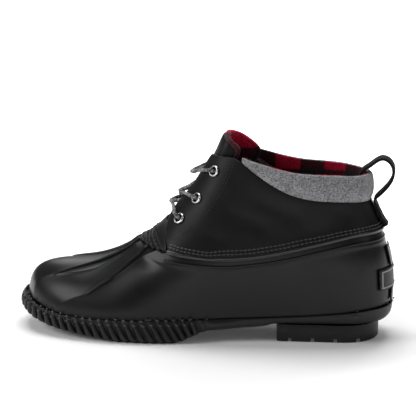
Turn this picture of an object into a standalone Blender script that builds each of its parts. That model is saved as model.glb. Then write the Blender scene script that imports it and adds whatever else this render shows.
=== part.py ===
"""Duck boot for the left foot: a rubber shell on a ribbed sole, with a laced leather shaft and a felt collar.

All sizes are in millimetres. The toe points along -X, the outer side of the foot is -Y, and the origin is
the middle of the heel's flat underside. Every wall is taken from one surface, upper_point, by an offset
along its normal, so that the pieces stay fitted to each other when a size changes.
"""

import math

import bmesh
import bpy
import numpy as np
from mathutils import Vector

MM = 0.001

# Driving sizes of the last
FOOT_LENGTH = 288.5  # toe to heel back, along the shell
HEEL_REACH = 50.0  # from the origin to the shell's back
HALF_BALL = 45.8  # half the shell's width at the ball
TOE_SHIFT = 12.0  # how far the toe's tip leans to the inner side
INSTEP_TOP = 141.0  # height of the throat's top
COLLAR_HEIGHT = 132.0  # height of the collar rim's low point at the side
FEATHER_HEIGHT = 13.0  # height of the shell's lower edge at the ball
TOE_ROUND = 0.165  # share of the length over which the toe closes
HEEL_ROUND = 38.0  # length over which the heel closes
THROAT_REACH = 50.0  # from the crest to the quarter's lower front corner, along the surface
TONGUE_NARROW = 14.0  # half widths of the tongue, at its foot and at its top
TONGUE_WIDE_OUTER = 30.0
TONGUE_WIDE_INNER = 42.0
TONGUE_LEVEL = 2.24  # how high the tongue's tip goes, where 2 is the collar rim

# Walls and clearances
GAP = 0.3
FIT = 0.8  # between curved walls, whose flat facets bow past each other
SHELL_WALL = 2.6
BAND_STEP = 0.9
LEATHER_WALL = 1.8
VAMP_WALL = 1.5
TONGUE_WALL = 3.4
CUFF_PAD = 2.2
INSOLE_THICKNESS = 4.0
RIM_FIT = 0.8  # between the rand's rim and the shell
INSOLE_FIT = 2.6  # room round the insole's edge

# Sole and heel
RAND_OUT = 4.0  # how far the ribs stand out beyond the shell
BAND_OUT = 2.3  # how far the plain band stands out at the heel
RAND_RISE = 4.6  # height of the rand's rim above the shell's lower edge
RIB_PITCH = 6.5
RIB_DEPTH = 2.2
RIBS_END = 0.515  # share of the length where the ribs stop
WAIST_START = 0.39  # share of the length where the tread starts to rise to the waist
TOE_SPRING = 12.5
SHANK_HEIGHT = 9.0
SHANK_RISE = 2.6
SEAT_START = 0.675  # share of the length where the heel seat starts
STEP_RUN = 0.012  # share of the length over which the underside steps up
HEEL_HEIGHT = 14.0
HEEL_BREAST = -37.0
HEEL_BLOCK_STEP = 9.5  # from the shell's back to the block's back
HEEL_BLOCK_BACK = HEEL_REACH - HEEL_BLOCK_STEP
HEEL_INSET = 3.6
TREAD_DEPTH = 2.6
TREAD_WIDTH = 3.2
TREAD_PITCH = 9.5
LUG_WIDTH = 3.0
LUG_PITCH = 17.5

# Ridges, strip and label
RIDGE_HEIGHT = 1.3
RIDGE_HALF = 1.7
STRIP_WIDTH = 17.0
STRIP_PROUD = 1.1
STRIP_GAP = 0.7
STRIP_FOOT = 30.0
STRIP_TOP = 72.5
LABEL_FOOT = 40.8
LABEL_TOP = 57.2
LABEL_WIDTH = 50.0
LABEL_PROUD = 1.3

# Lacing and loop
EYELET_OUTER = 9.0
EYELET_BORE = 4.6
EYELET_PROUD = 1.3
EYELET_SETBACK = 17.0  # from the quarter's edge to an eyelet's middle
LACE_DIAMETER = 2.8
TAPE_WIDTH = 14.0
TAPE_THICKNESS = 2.4

# The plan: half widths and places by share of the length, as shares of HALF_BALL.
# share, centre (share of TOE_SHIFT), crest (share of TOE_SHIFT), feather, middle, ankle, collar
PLAN = (
    (0.000, 1.00, 1.00, 0.873, 0.873, 0.873, 0.873),
    (0.040, 0.67, 0.86, 0.886, 0.886, 0.880, 0.873),
    (0.088, 0.46, 0.75, 0.889, 0.889, 0.873, 0.873),
    (0.172, 0.21, 0.58, 0.945, 0.945, 0.917, 0.895),
    (0.241, 0.03, 0.46, 1.000, 0.993, 0.961, 0.917),
    (0.314, -0.17, 0.33, 0.983, 0.983, 0.939, 0.895),
    (0.393, -0.36, 0.21, 0.884, 0.928, 0.885, 0.830),
    (0.477, -0.42, 0.13, 0.786, 0.873, 0.800, 0.740),
    (0.556, -0.33, 0.08, 0.721, 0.819, 0.725, 0.675),
    (0.646, -0.17, 0.00, 0.710, 0.786, 0.680, 0.645),
    (0.750, -0.07, 0.00, 0.721, 0.764, 0.655, 0.630),
    (0.851, 0.00, 0.00, 0.721, 0.731, 0.625, 0.585),
    (1.000, 0.00, 0.00, 0.721, 0.721, 0.600, 0.560),
)
WIDTH_LEVELS = (0.15, 0.45, 0.76, 1.0)  # heights of the four widths, as shares of COLLAR_HEIGHT

# The crest over toe and instep: share of the length, height as a share of INSTEP_TOP
CREST = (
    (0.0000, 0.140),
    (0.0020, 0.225),
    (0.0087, 0.275),
    (0.0191, 0.310),
    (0.0329, 0.336),
    (0.0503, 0.355),
    (0.0953, 0.370),
    (0.1646, 0.378),
    (0.2132, 0.395),
    (0.2478, 0.419),
    (0.2790, 0.448),
    (0.3137, 0.493),
    (0.3511, 0.521),
    (0.3690, 0.558),
    (0.3970, 0.613),
    (0.4160, 0.680),
    (0.4660, 0.805),
    (0.4900, 0.880),
    (0.5110, 0.965),
    (0.5220, 1.000),
    (0.5450, 1.113),
    (0.5840, 1.290),
    (0.6360, 1.520),
    (0.7200, 1.860),
    (1.0000, 2.700),
)

# The back of the heel: height as a share of COLLAR_HEIGHT, reach as a share of HEEL_REACH
BACK = (
    (0.000, 0.880),
    (0.130, 0.940),
    (0.220, 1.000),
    (0.310, 1.010),
    (0.420, 0.996),
    (0.500, 0.960),
    (0.576, 0.895),
    (0.640, 0.815),
    (0.700, 0.735),
    (0.770, 0.650),
    (0.830, 0.600),
    (0.900, 0.600),
    (1.000, 0.600),
    (1.300, 0.600),
)

# The shell's lower edge: share of the length, height as a share of FEATHER_HEIGHT
FEATHER = (
    (0.00, 1.52),
    (0.09, 1.12),
    (0.19, 0.97),
    (0.31, 1.00),
    (0.47, 1.08),
    (0.63, 1.18),
    (0.77, 1.37),
    (0.88, 1.60),
    (0.94, 1.75),
    (1.00, 1.82),
)

# The leather's lower edge, by share of the way from crest to heel back, as a share of COLLAR_HEIGHT
LOW_LINE = (
    (0.00, 0.530),
    (0.05, 0.526),
    (0.14, 0.515),
    (0.27, 0.500),
    (0.38, 0.492),
    (0.51, 0.508),
    (0.60, 0.530),
    (0.80, 0.598),
    (0.91, 0.632),
    (1.00, 0.636),
)

# The collar rim, in the same way
RIM_LINE = (
    (0.00, 1.068),
    (0.17, 1.076),
    (0.29, 1.058),
    (0.43, 1.024),
    (0.58, 1.000),
    (0.83, 0.988),
    (0.95, 0.978),
    (1.00, 0.978),
)

# The leather's top edge: share of the way from crest to back, level between low line (1) and rim (2)
LEATHER_TOP = (
    (0.00, 2.000),
    (0.17, 2.000),
    (0.21, 1.970),
    (0.30, 1.905),
    (0.47, 1.800),
    (0.62, 1.710),
    (0.73, 1.650),
    (0.84, 1.605),
    (0.95, 1.560),
    (1.00, 1.540),
)

# The throat: level, distance along the surface from the crest to the quarter's edge as a share of THROAT_REACH
THROAT = (
    (1.00, 1.00),
    (1.05, 0.89),
    (1.13, 0.67),
    (1.20, 0.50),
    (1.30, 0.27),
    (1.40, 0.20),
    (1.60, 0.19),
    (2.00, 0.20),
)

# Ridges on the toe: share of the length, then the inner pair's distance from the crest as a share of
# HALF_BALL, and the outer pair's height as a share of INSTEP_TOP
RIDGES = (
    (0.000, 0.10, 0.060),
    (0.050, 0.46, 0.080),
    (0.110, 0.60, 0.105),
    (0.150, 0.61, 0.150),
    (0.190, 0.590, 0.225),
    (0.220, 0.540, 0.290),
    (0.265, 0.420, 0.333),
    (0.307, 0.300, 0.395),
    (0.355, 0.155, 0.460),
    (0.420, 0.120, 0.530),
    (0.600, 0.110, 0.700),
)
INNER_RIDGE = (0.085, 0.125, 0.318)  # fades in, full from, ends at
OUTER_RIDGE = (0.180, 0.215, 0.365)

# Underside of the sole: share of the length, height as a share of TOE_SPRING
TOE_CURVE = (
    (0.00, 1.00),
    (0.03, 0.74),
    (0.07, 0.50),
    (0.13, 0.28),
    (0.18, 0.14),
    (0.22, 0.05),
    (0.26, 0.00),
    (1.00, 0.00),
)

COLOURS = {
    "rubber": ((0.016, 0.016, 0.017), 0.42, 0.0),
    "leather": ((0.014, 0.014, 0.015), 0.55, 0.0),
    "felt": ((0.30, 0.30, 0.31), 0.95, 0.0),
    "fleece": ((0.30, 0.01, 0.015), 0.95, 0.0),
    "foam": ((0.05, 0.05, 0.05), 0.9, 0.0),
    "metal": ((0.55, 0.55, 0.56), 0.28, 1.0),
    "cord": ((0.20, 0.20, 0.20), 0.85, 0.0),
    "tape": ((0.015, 0.015, 0.016), 0.8, 0.0),
}


def clear_scene():
    for item in list(bpy.data.objects):
        bpy.data.objects.remove(item, do_unlink=True)


def material(kind):
    colour, rough, metal = COLOURS[kind]
    made = bpy.data.materials.get(kind) or bpy.data.materials.new(kind)
    made.use_nodes = True
    shader = made.node_tree.nodes["Principled BSDF"]
    shader.inputs["Base Color"].default_value = (*colour, 1.0)
    shader.inputs["Roughness"].default_value = rough
    shader.inputs["Metallic"].default_value = metal
    return made


def column(table, at, place):
    """Column `at` of a table, read at `place` by a smooth curve that never overshoots its rows."""
    keys = [row[0] for row in table]
    values = [row[at] for row in table]
    if place <= keys[0]:
        return values[0]
    if place >= keys[-1]:
        return values[-1]
    i = next(k for k in range(len(keys) - 1) if place <= keys[k + 1])
    step = keys[i + 1] - keys[i]
    slope = (values[i + 1] - values[i]) / step

    def tangent(k):
        if k in (0, len(keys) - 1):
            near = 0 if k == 0 else k - 1
            return (values[near + 1] - values[near]) / (keys[near + 1] - keys[near])
        before = (values[k] - values[k - 1]) / (keys[k] - keys[k - 1])
        after = (values[k + 1] - values[k]) / (keys[k + 1] - keys[k])
        if before * after <= 0:
            return 0.0
        return 2.0 * before * after / (before + after)

    share = (place - keys[i]) / step
    a, b = tangent(i), tangent(i + 1)
    bend_a = a - slope
    bend_b = slope - b
    rest = share * (1.0 - share)
    return values[i] + step * (slope * share + rest * (bend_a * (1.0 - share) + bend_b * share))


def ease(share):
    share = min(max(share, 0.0), 1.0)
    return share * share * (3.0 - 2.0 * share)


def station(share):
    """The X of a share of the length, from the toe's tip."""
    return HEEL_REACH - FOOT_LENGTH * (1.0 - share)


def share_at(x):
    return 1.0 - (HEEL_REACH - x) / FOOT_LENGTH


def feather_height(x):
    return FEATHER_HEIGHT * column(FEATHER, 1, share_at(x))


def crest_height(x):
    return INSTEP_TOP * column(CREST, 1, share_at(x))


def back_reach(z):
    return HEEL_REACH * column(BACK, 1, z / COLLAR_HEIGHT)


def low_line(way):
    return COLLAR_HEIGHT * column(LOW_LINE, 1, way)


def rim_line(way):
    return COLLAR_HEIGHT * column(RIM_LINE, 1, way)


def crest_line():
    """The crest as close points with their length along it, from the toe's tip up."""
    shares = np.concatenate([np.linspace(0.0, 0.05, 40), np.linspace(0.05, 0.66, 240)[1:]])
    points = [(station(s), crest_height(station(s))) for s in shares]
    start = feather_height(station(0.0))
    points = [(station(0.0), start)] + [p for p in points if p[1] > start]
    runs = [0.0]
    for a, b in zip(points, points[1:]):
        runs.append(runs[-1] + math.dist(a, b))
    return np.array(points), np.array(runs)


CREST_POINTS, CREST_RUNS = crest_line()
LOW_RUN = float(np.interp(low_line(0.0), CREST_POINTS[:, 1], CREST_RUNS))


def front_point(level):
    """Where the ring of a level starts on the crest: 0 at the lower edge, 1 at the low line, 2 at the rim."""
    if level <= 1.0:
        run = LOW_RUN * max(level, 0.0)
    else:
        height = low_line(0.0) + (rim_line(0.0) - low_line(0.0)) * (level - 1.0)
        run = float(np.interp(height, CREST_POINTS[:, 1], CREST_RUNS))
    x = float(np.interp(run, CREST_RUNS, CREST_POINTS[:, 0]))
    z = float(np.interp(run, CREST_RUNS, CREST_POINTS[:, 1]))
    return x, z


def ring_height(level, way, x):
    if level > 1.0:
        return low_line(way) + (rim_line(way) - low_line(way)) * (level - 1.0)
    front_x, front_z = front_point(level)
    side = feather_height(x) + (low_line(way) - feather_height(x)) * level
    foot = feather_height(front_x) + (low_line(0.0) - feather_height(front_x)) * level
    return side + (front_z - foot) * (1.0 - ease(way / 0.30))


def half_width(share, z):
    """Half the width of the last at a station and a height, before the crest closes over it."""
    rows = [(level, column(PLAN, 3 + k, share)) for k, level in enumerate(WIDTH_LEVELS)]
    width = HALF_BALL * column(rows, 1, z / COLLAR_HEIGHT)
    if share < TOE_ROUND:
        width *= math.sqrt(max(1.0 - (1.0 - share / TOE_ROUND) ** 2, 0.0))
    return width


def ring_point(level, turn):
    """A point of the last's surface. `turn` runs from -1 (heel back) by the outer side to 0 (front) and 1."""
    turn = (turn + 1.0) % 2.0 - 1.0
    side = -1.0 if turn < 0 else 1.0
    way = (1.0 - math.cos(math.pi * abs(turn))) / 2.0
    front_x, front_z = front_point(level)
    if level > 1.0:
        back_z = ring_height(level, 1.0, HEEL_REACH)
    else:
        back_z = feather_height(HEEL_REACH) + (low_line(1.0) - feather_height(HEEL_REACH)) * level
    back_x = back_reach(back_z)
    x = front_x + (back_x - front_x) * way
    z = ring_height(level, way, x)
    share = share_at(x)
    foot = feather_height(x)
    crest = max(crest_height(x), foot + 0.01)
    rise = min(max((z - foot) / (crest - foot), 0.0), 1.0)
    arch = (1.0 - rise**2.5) ** (1.0 / 2.1)
    into = (x - (back_x - HEEL_ROUND)) / HEEL_ROUND
    closing = (1.0 - min(into, 1.0) ** 2.2) ** (1.0 / 2.2) if into > 0 else 1.0
    centre = TOE_SHIFT * column(PLAN, 1, share)
    ridge_line = TOE_SHIFT * column(PLAN, 2, share)
    edge = centre + side * half_width(share, z)
    y = (ridge_line + (edge - ridge_line) * arch) * closing
    return Vector((x, y, z))


def upper_point(level, turn, offset=0.0):
    """The same point moved out by `offset` along the surface's normal."""
    place = ring_point(level, turn)
    if offset == 0.0:
        return place
    if level < 0.02:
        up = ring_point(0.02, turn) - ring_point(0.0, turn)
    else:
        up = ring_point(level + 0.01, turn) - ring_point(level - 0.01, turn)
    along = ring_point(level, turn + 0.006) - ring_point(level, turn - 0.006)
    normal = up.cross(along).normalized()
    return place + normal * offset


class Ring:
    """One ring of the surface, read by the length along it from the crest. `side` is -1 outer, 1 inner."""

    def __init__(self, level, side, samples=140):
        self.side = side
        self.level = level if callable(level) else (lambda turn: level)
        self.turns = np.linspace(0.0, 1.0, samples)
        points = [ring_point(self.level(t), side * t) for t in self.turns]
        steps = [0.0] + [(b - a).length for a, b in zip(points, points[1:])]
        self.runs = np.cumsum(steps)
        self.length = float(self.runs[-1])
        self.points = points

    def turn(self, run):
        return float(np.interp(run, self.runs, self.turns))

    def point(self, run, offset=0.0):
        turn = self.turn(run)
        return upper_point(self.level(turn), self.side * turn, offset)

    def crossing(self, rule):
        """The length along the ring where `rule` of a point turns from negative to positive."""
        before = rule(self.points[0])
        for i in range(1, len(self.points)):
            after = rule(self.points[i])
            if after > 0:
                part = before / (before - after) if before < 0 else 0.0
                return float(self.runs[i - 1] + (self.runs[i] - self.runs[i - 1]) * part)
            before = after
        return self.length


def way_of(turn):
    return (1.0 - math.cos(math.pi * min(abs(turn), 1.0))) / 2.0


def add_object(name, mesh_data, kind, smooth=40.0):
    mesh = bpy.data.meshes.new(name)
    mesh_data.to_mesh(mesh)
    mesh_data.free()
    mesh.materials.append(material(kind))
    mesh.shade_smooth()
    mesh.set_sharp_from_angle(angle=math.radians(smooth))
    made = bpy.data.objects.new(name, mesh)
    bpy.context.scene.collection.objects.link(made)
    return made


def wall_solid(name, outer, inner, kind, closed=False, smooth=40.0):
    """A wall between two grids of points, rows upwards and columns clockwise seen from above."""
    work = bmesh.new()
    out = [[work.verts.new(p * MM) for p in row] for row in outer]
    back = [[work.verts.new(p * MM) for p in row] for row in inner]
    rows, cols = len(out), len(out[0])
    last = cols if closed else cols - 1
    for i in range(rows - 1):
        for j in range(last):
            k = (j + 1) % cols
            work.faces.new((out[i][j], out[i + 1][j], out[i + 1][k], out[i][k]))
            work.faces.new((back[i][j], back[i][k], back[i + 1][k], back[i + 1][j]))
    for j in range(last):
        k = (j + 1) % cols
        work.faces.new((out[0][j], out[0][k], back[0][k], back[0][j]))
        work.faces.new((out[-1][j], back[-1][j], back[-1][k], out[-1][k]))
    if not closed:
        for i in range(rows - 1):
            work.faces.new((out[i][0], back[i][0], back[i + 1][0], out[i + 1][0]))
            work.faces.new((out[i][-1], out[i + 1][-1], back[i + 1][-1], back[i][-1]))
    return add_object(name, work, kind, smooth)


def plate_solid(name, lower, upper, kind, smooth=40.0):
    """A solid stacked from rings, each a pair (outer side, inner side) of rows that share their ends."""
    work = bmesh.new()
    rings = []
    for outer_side, inner_side in (*lower, *upper):
        left = [work.verts.new(p * MM) for p in outer_side]
        right = [left[0]] + [work.verts.new(p * MM) for p in inner_side[1:-1]] + [left[-1]]
        rings.append((left, right))
    for (left, right), (left_up, right_up) in zip(rings, rings[1:]):
        for i in range(len(left) - 1):
            work.faces.new((left[i], left[i + 1], left_up[i + 1], left_up[i]))
            work.faces.new((right[i + 1], right[i], right_up[i], right_up[i + 1]))
    for (left, right), up in ((rings[0], False), (rings[-1], True)):
        for i in range(len(left) - 1):
            corners = [left[i], left[i + 1], right[i + 1], right[i]]
            corners = [c for k, c in enumerate(corners) if c not in corners[:k]]
            work.faces.new(corners if up else corners[::-1])
    return add_object(name, work, kind, smooth)


def cut_with(target, boxes):
    """Cuts a list of boxes (centre, size, turn about Z) out of an object."""
    work = bmesh.new()
    for centre, size, turn in boxes:
        made = bmesh.ops.create_cube(work, size=1.0)["verts"]
        for corner in made:
            corner.co = Vector((corner.co.x * size[0], corner.co.y * size[1], corner.co.z * size[2]))
            x = corner.co.x * math.cos(turn) - corner.co.y * math.sin(turn)
            y = corner.co.x * math.sin(turn) + corner.co.y * math.cos(turn)
            corner.co = (Vector((x, y, corner.co.z)) + Vector(centre)) * MM
    bmesh.ops.recalc_face_normals(work, faces=work.faces[:])
    cutter = add_object(target.name + "_cutter", work, "rubber")
    cutter.hide_render = True
    cutter.display_type = "WIRE"
    cut = target.modifiers.new("tread", "BOOLEAN")
    cut.operation = "DIFFERENCE"
    cut.object = cutter


def rib_turns():
    """Turns of the sole's columns on one side, and for each whether it is a valley between ribs."""
    ring = Ring(0.0, -1, 700)
    end = ring.crossing(lambda p: share_at(p.x) - RIBS_END)
    count = round(end / RIB_PITCH)
    pitch = end / count
    turns = []
    for i in range(count):
        start = i * pitch
        if i > 0:
            turns.append((ring.turn(start), True))
        turns.append((ring.turn(start + pitch * 0.28), False))
        turns.append((ring.turn(start + pitch * 0.72), False))
    turns.append((ring.turn(end), True))
    turns.insert(0, (0.0, True))
    marks = [RIBS_END + STEP_RUN, 0.575, 0.625, SEAT_START, SEAT_START + STEP_RUN, 0.74, 0.79, 0.84]
    runs = [ring.crossing(lambda p, m=mark: share_at(p.x) - m) for mark in marks]
    last = runs[-1]
    runs += [last + (ring.length - last) * i / 7 for i in range(1, 8)]
    turns += [(ring.turn(run), False) for run in runs]
    return turns


def sole_columns():
    """The sole's side as rows of points for each side of the foot, from the underside up to the plate."""
    turns = rib_turns()
    sides = {}
    for side in (-1, 1):
        rows = [[] for _ in range(7)]
        for turn, valley in turns:
            foot = ring_point(0.0, side * turn)
            share = share_at(foot.x)
            ribbed = ease((RIBS_END - share) / 0.02 + 1.0) if share < RIBS_END + 0.02 else 0.0
            heel = ease((share - RIBS_END) / 0.12)
            reach = RAND_OUT + (BAND_OUT - RAND_OUT) * heel
            dent = RIB_DEPTH if valley and share <= RIBS_END + 1e-4 else 0.0
            under = underside(share)
            top = foot.z + RAND_RISE
            waist = heel * (1.0 - ease((share - 0.66) / 0.05))
            seat = ease((share - 0.66) / 0.05)
            tuck = (reach - dent - 2.2) * (1.0 - heel) - (4.5 * seat + 4.0 * waist) * heel
            side_height = top - under
            lift = 0.10 + 0.26 * seat
            profile = (
                (tuck, under),
                (reach - dent - 0.5 - 1.8 * (1.0 - ribbed), under + 0.09 * side_height + 4.0 * seat * lift),
                (reach - dent, under + (0.30 + 0.18 * seat) * side_height),
                (reach - dent, under + (0.66 + 0.06 * seat) * side_height),
            )
            out = upper_point(0.0, side * turn, 1.0) - foot
            out.z = 0.0
            out.normalize()
            for k, (far, height) in enumerate(profile):
                spot = foot + out * far
                rows[k].append(Vector((spot.x, spot.y, height)))
            rim = rim_level(side * turn, top)
            lip = 1.4 + (reach - dent * 0.8 - 2.7) * ribbed
            for k, (far, drop) in enumerate(((lip, 0.8), (0.5, 0.0)), start=4):
                spot = upper_point(rim, side * turn, RIM_FIT + far)
                rows[k].append(Vector((spot.x, spot.y, top - drop)))
            low = upper_point(0.0, side * turn, RIM_FIT)
            rows[6].append(Vector((low.x, low.y, foot.z - GAP)))
        sides[side] = rows
    for k in range(7):
        for end in (0, -1):
            middle = (sides[-1][k][end] + sides[1][k][end]) / 2.0
            sides[-1][k][end] = middle
            sides[1][k][end] = middle
    return sides


def rim_level(turn, height):
    """The level at which the ring at a turn reaches a height."""
    low, high = 0.0, 0.5
    for _ in range(24):
        level = (low + high) / 2.0
        if ring_point(level, turn).z < height:
            low = level
        else:
            high = level
    return (low + high) / 2.0


def underside(share):
    """Height of the sole's underside: flat under the ball, raised at the waist and under the heel seat."""
    front = TOE_SPRING * column(TOE_CURVE, 1, share)
    waist = SHANK_HEIGHT + SHANK_RISE * ease((share - RIBS_END) / (SEAT_START - RIBS_END))
    waist *= ease((share - WAIST_START) / (RIBS_END + STEP_RUN - WAIST_START))
    seat = (HEEL_HEIGHT - SHANK_HEIGHT - SHANK_RISE) * ease((share - SEAT_START) / STEP_RUN)
    return front + waist + seat


def make_outsole():
    sides = sole_columns()
    rings = [(sides[-1][k], sides[1][k]) for k in range(7)]
    sole = plate_solid("outsole", rings[:1], rings[1:], "rubber", smooth=50.0)
    boxes = []
    front = station(0.145)
    back = station(RIBS_END - 0.04)
    count = int((back - front) / TREAD_PITCH)
    for i in range(count + 1):
        x = front + (back - front) * i / count
        share = share_at(x)
        half = half_width(share, FEATHER_HEIGHT) - 5.0
        middle = TOE_SHIFT * column(PLAN, 1, share)
        height = underside(share)
        for side in (-1.0, 1.0):
            centre = (x, middle + side * half * 0.52, height)
            boxes.append((centre, (TREAD_WIDTH, half * 0.86, TREAD_DEPTH * 2.0), side * 0.24))
    cut_with(sole, boxes)
    return sole


def heel_rows(height, inset):
    """The heel block's outline at a height, as outer and inner rows that share their ends."""
    rows = []
    for side in (-1, 1):
        row = [Vector((HEEL_BREAST + inset, 0.0, height))]
        turns = np.linspace(0.0, 1.0, 400)
        first = next(t for t in turns if ring_point(0.0, side * t).x > HEEL_BREAST + inset)
        shrink = HEEL_BLOCK_BACK / (back_reach(feather_height(HEEL_REACH)) - HEEL_INSET)
        for i in range(13):
            turn = first + (1.0 - first) * i / 12
            spot = upper_point(0.0, side * turn, -HEEL_INSET - inset)
            x = spot.x * shrink if spot.x > 0 else spot.x
            x = max(x, HEEL_BREAST + inset)
            row.append(Vector((x, spot.y, height)))
        row[-1].y = 0.0
        rows.append(row)
    return tuple(rows)


def make_heel():
    levels = ((0.0, 1.0), (1.0, 0.0), (HEEL_HEIGHT - GAP, 0.0))
    rings = [heel_rows(height, inset) for height, inset in levels]
    heel = plate_solid("heel", rings[:1], rings[1:], "rubber", smooth=40.0)
    boxes = []
    for x in (-1.0, 1.0):
        for far in (0.5, 1.5):
            if x * far * LUG_PITCH < HEEL_BLOCK_BACK - 8.0:
                centre = (x * far * LUG_PITCH, 0.0, 0.0)
                boxes.append((centre, (LUG_WIDTH, 90.0, 6.0), 0.0))
    cut_with(heel, boxes)
    return heel


def make_insole():
    turns = np.linspace(0.0, 1.0, 24)
    rings = []
    for rise in (GAP, GAP + INSOLE_THICKNESS):
        rows = []
        for side in (-1, 1):
            row = []
            for turn in turns:
                foot = ring_point(0.0, side * turn)
                level = rim_level(side * turn, foot.z + rise)
                spot = upper_point(level, side * turn, -SHELL_WALL - INSOLE_FIT)
                row.append(Vector((spot.x, spot.y, foot.z + rise)))
            rows.append(row)
        for end in (0, -1):
            middle = (rows[0][end] + rows[1][end]) / 2.0
            rows[0][end] = middle
            rows[1][end] = middle
        rings.append(tuple(rows))
    return plate_solid("insole", rings[:1], rings[1:], "foam")


def band_foot(turn):
    """Level of the raised band's lower line, which narrows towards the throat."""
    return 1.0 - 0.135 * (0.30 + 0.70 * ease(abs(turn) / 0.32))


def fade(share, span):
    start, full, end = span
    rise = ease((share - start) / (full - start))
    return rise * (1.0 - ease((share - end + 0.02) / 0.02))


def shell_rows():
    levels = [0.0, 0.05, 0.12, 0.20, 0.29, 0.39, 0.49, 0.59, 0.69, 0.78]
    rows = [(lambda turn, v=v: v * band_foot(turn) / 0.865, 0.0) for v in levels]
    rows.append((lambda turn: band_foot(turn) - 0.008, 0.0))
    rows.append((lambda turn: band_foot(turn) + 0.012, BAND_STEP))
    rows.append((lambda turn: 1.0, BAND_STEP))
    rows.append((lambda turn: 1.035, BAND_STEP))
    rows.append((lambda turn: 1.08, BAND_STEP))
    rows.append((lambda turn: 1.115, BAND_STEP))
    return rows


COLUMN_REST = (28.0, 62.0)  # where the two ridges' columns lie below the ridges


def ridged_runs(ring, plain):
    """Columns of one ring of the shell: lengths from the crest, with the height of the ridge at each."""
    def past_inner(point):
        share = share_at(point.x)
        middle = TOE_SHIFT * column(PLAN, 2, share)
        return abs(point.y - middle) - HALF_BALL * column(RIDGES, 1, share)

    def past_outer(point):
        return INSTEP_TOP * column(RIDGES, 2, share_at(point.x)) - point.z

    ridged = ease((ring.level(0.0) - 0.14) / 0.20)
    inner = COLUMN_REST[0] + (ring.crossing(past_inner) - COLUMN_REST[0]) * ridged
    outer = COLUMN_REST[1] + (ring.crossing(past_outer) - COLUMN_REST[1]) * ridged
    inner = max(inner, RIDGE_HALF * 2.2)
    outer = max(outer, inner + RIDGE_HALF * 4.0)
    tall = {}
    for run, span in ((inner, INNER_RIDGE), (outer, OUTER_RIDGE)):
        tall[run] = RIDGE_HEIGHT * fade(share_at(ring.point(run).x), span)
    runs = [(0.0, 0.0), ((inner - RIDGE_HALF) / 2.0, 0.0)]
    runs += [(inner - RIDGE_HALF, 0.0), (inner, tall[inner]), (inner + RIDGE_HALF, 0.0)]
    runs += [((inner + outer) / 2.0, 0.0)]
    runs += [(outer - RIDGE_HALF, 0.0), (outer, tall[outer]), (outer + RIDGE_HALF, 0.0)]
    last = outer + RIDGE_HALF
    for i in range(1, plain + 1):
        runs.append((last + (ring.length - last) * (1.0 - (1.0 - i / plain) ** 1.3), 0.0))
    return runs


def make_shell():
    outer, inner = [], []
    for level, step in shell_rows():
        out_row, in_row = [], []
        for side in (-1, 1):
            ring = Ring(level, side)
            columns = ridged_runs(ring, 15)
            if side < 0:
                columns = columns[:0:-1]
            else:
                columns = columns[:-1]
            for run, tall in columns:
                out_row.append(ring.point(run, step + tall))
                in_row.append(ring.point(run, -SHELL_WALL))
        outer.append(out_row)
        inner.append(in_row)
    return wall_solid("rubber_shell", outer, inner, "rubber", closed=True)


def throat_edge(level):
    return THROAT_REACH * column(THROAT, 1, level)


VAMP_ROWS = (0.0, 0.035, 0.08, 0.13, 0.19, 0.25)


def leather_level(row, turn):
    return 1.0 + row * (column(LEATHER_TOP, 1, way_of(turn)) - 1.0)


def make_leather():
    count = 25
    outer, inner = [], []
    for row in (*VAMP_ROWS, 0.38, 0.52, 0.66, 0.80, 0.94, 1.0):
        out_row, in_row = [], []
        for side in (1, -1):
            ring = Ring(lambda turn, r=row: leather_level(r, turn), side)
            start = throat_edge(1.0 + row)
            runs = [start + (ring.length - start) * i / count for i in range(count + 1)]
            if side < 0:
                runs = runs[-2::-1]
            bevel = 0.5 if row in (0.0, 1.0) else 0.0
            for run in runs:
                out_row.append(ring.point(run, BAND_STEP + FIT + LEATHER_WALL - bevel))
                in_row.append(ring.point(run, BAND_STEP + FIT))
        outer.append(out_row)
        inner.append(in_row)
    return wall_solid("leather_upper", outer, inner, "leather")


def make_vamp():
    count = 18
    outer, inner = [], []
    for row in VAMP_ROWS:
        level = 1.0 + row
        half = throat_edge(level) - 2.0 * GAP
        out_row, in_row = [], []
        for i in range(-count // 2, count // 2 + 1):
            side = -1 if i < 0 else 1
            ring = Ring(level, side)
            run = abs(i) / (count / 2) * half
            low = 0.4 if level == 1.0 else 0.0
            out_row.append(ring.point(run, BAND_STEP + FIT + VAMP_WALL - low))
            in_row.append(ring.point(run, BAND_STEP + FIT))
        outer.append(out_row)
        inner.append(in_row)
    return wall_solid("vamp", outer, inner, "leather")


def tongue_half(level, side):
    wide = TONGUE_WIDE_OUTER if side < 0 else TONGUE_WIDE_INNER
    return TONGUE_NARROW + (wide - TONGUE_NARROW) * ease((level - 1.1) / 0.95)


def tongue_top(share, side):
    fall = 0.15 if side < 0 else 0.24
    return TONGUE_LEVEL - fall * share**1.5


def make_tongue():
    count = 12
    outer, inner = [], []
    for row in (0.0, 0.14, 0.28, 0.42, 0.56, 0.68, 0.79, 0.88, 0.95, 1.0):
        out_row, in_row = [], []
        for i in range(-count // 2, count // 2 + 1):
            side = -1 if i < 0 else 1
            share = abs(i) / (count / 2)
            level = 1.135 + row * (tongue_top(share, side) - 1.135)
            ring = Ring(level, side)
            run = share * tongue_half(level, side)
            dive = 3.9 * ease((run - 19.0) / 9.0)
            thick = TONGUE_WALL - 1.2 * share**2
            edge = 0.8 if row == 1.0 else 0.0
            face = BAND_STEP - FIT - dive
            out_row.append(ring.point(run, face - edge))
            in_row.append(ring.point(run, face - thick + edge))
        outer.append(out_row)
        inner.append(in_row)
    return wall_solid("tongue", outer, inner, "leather")


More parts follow.
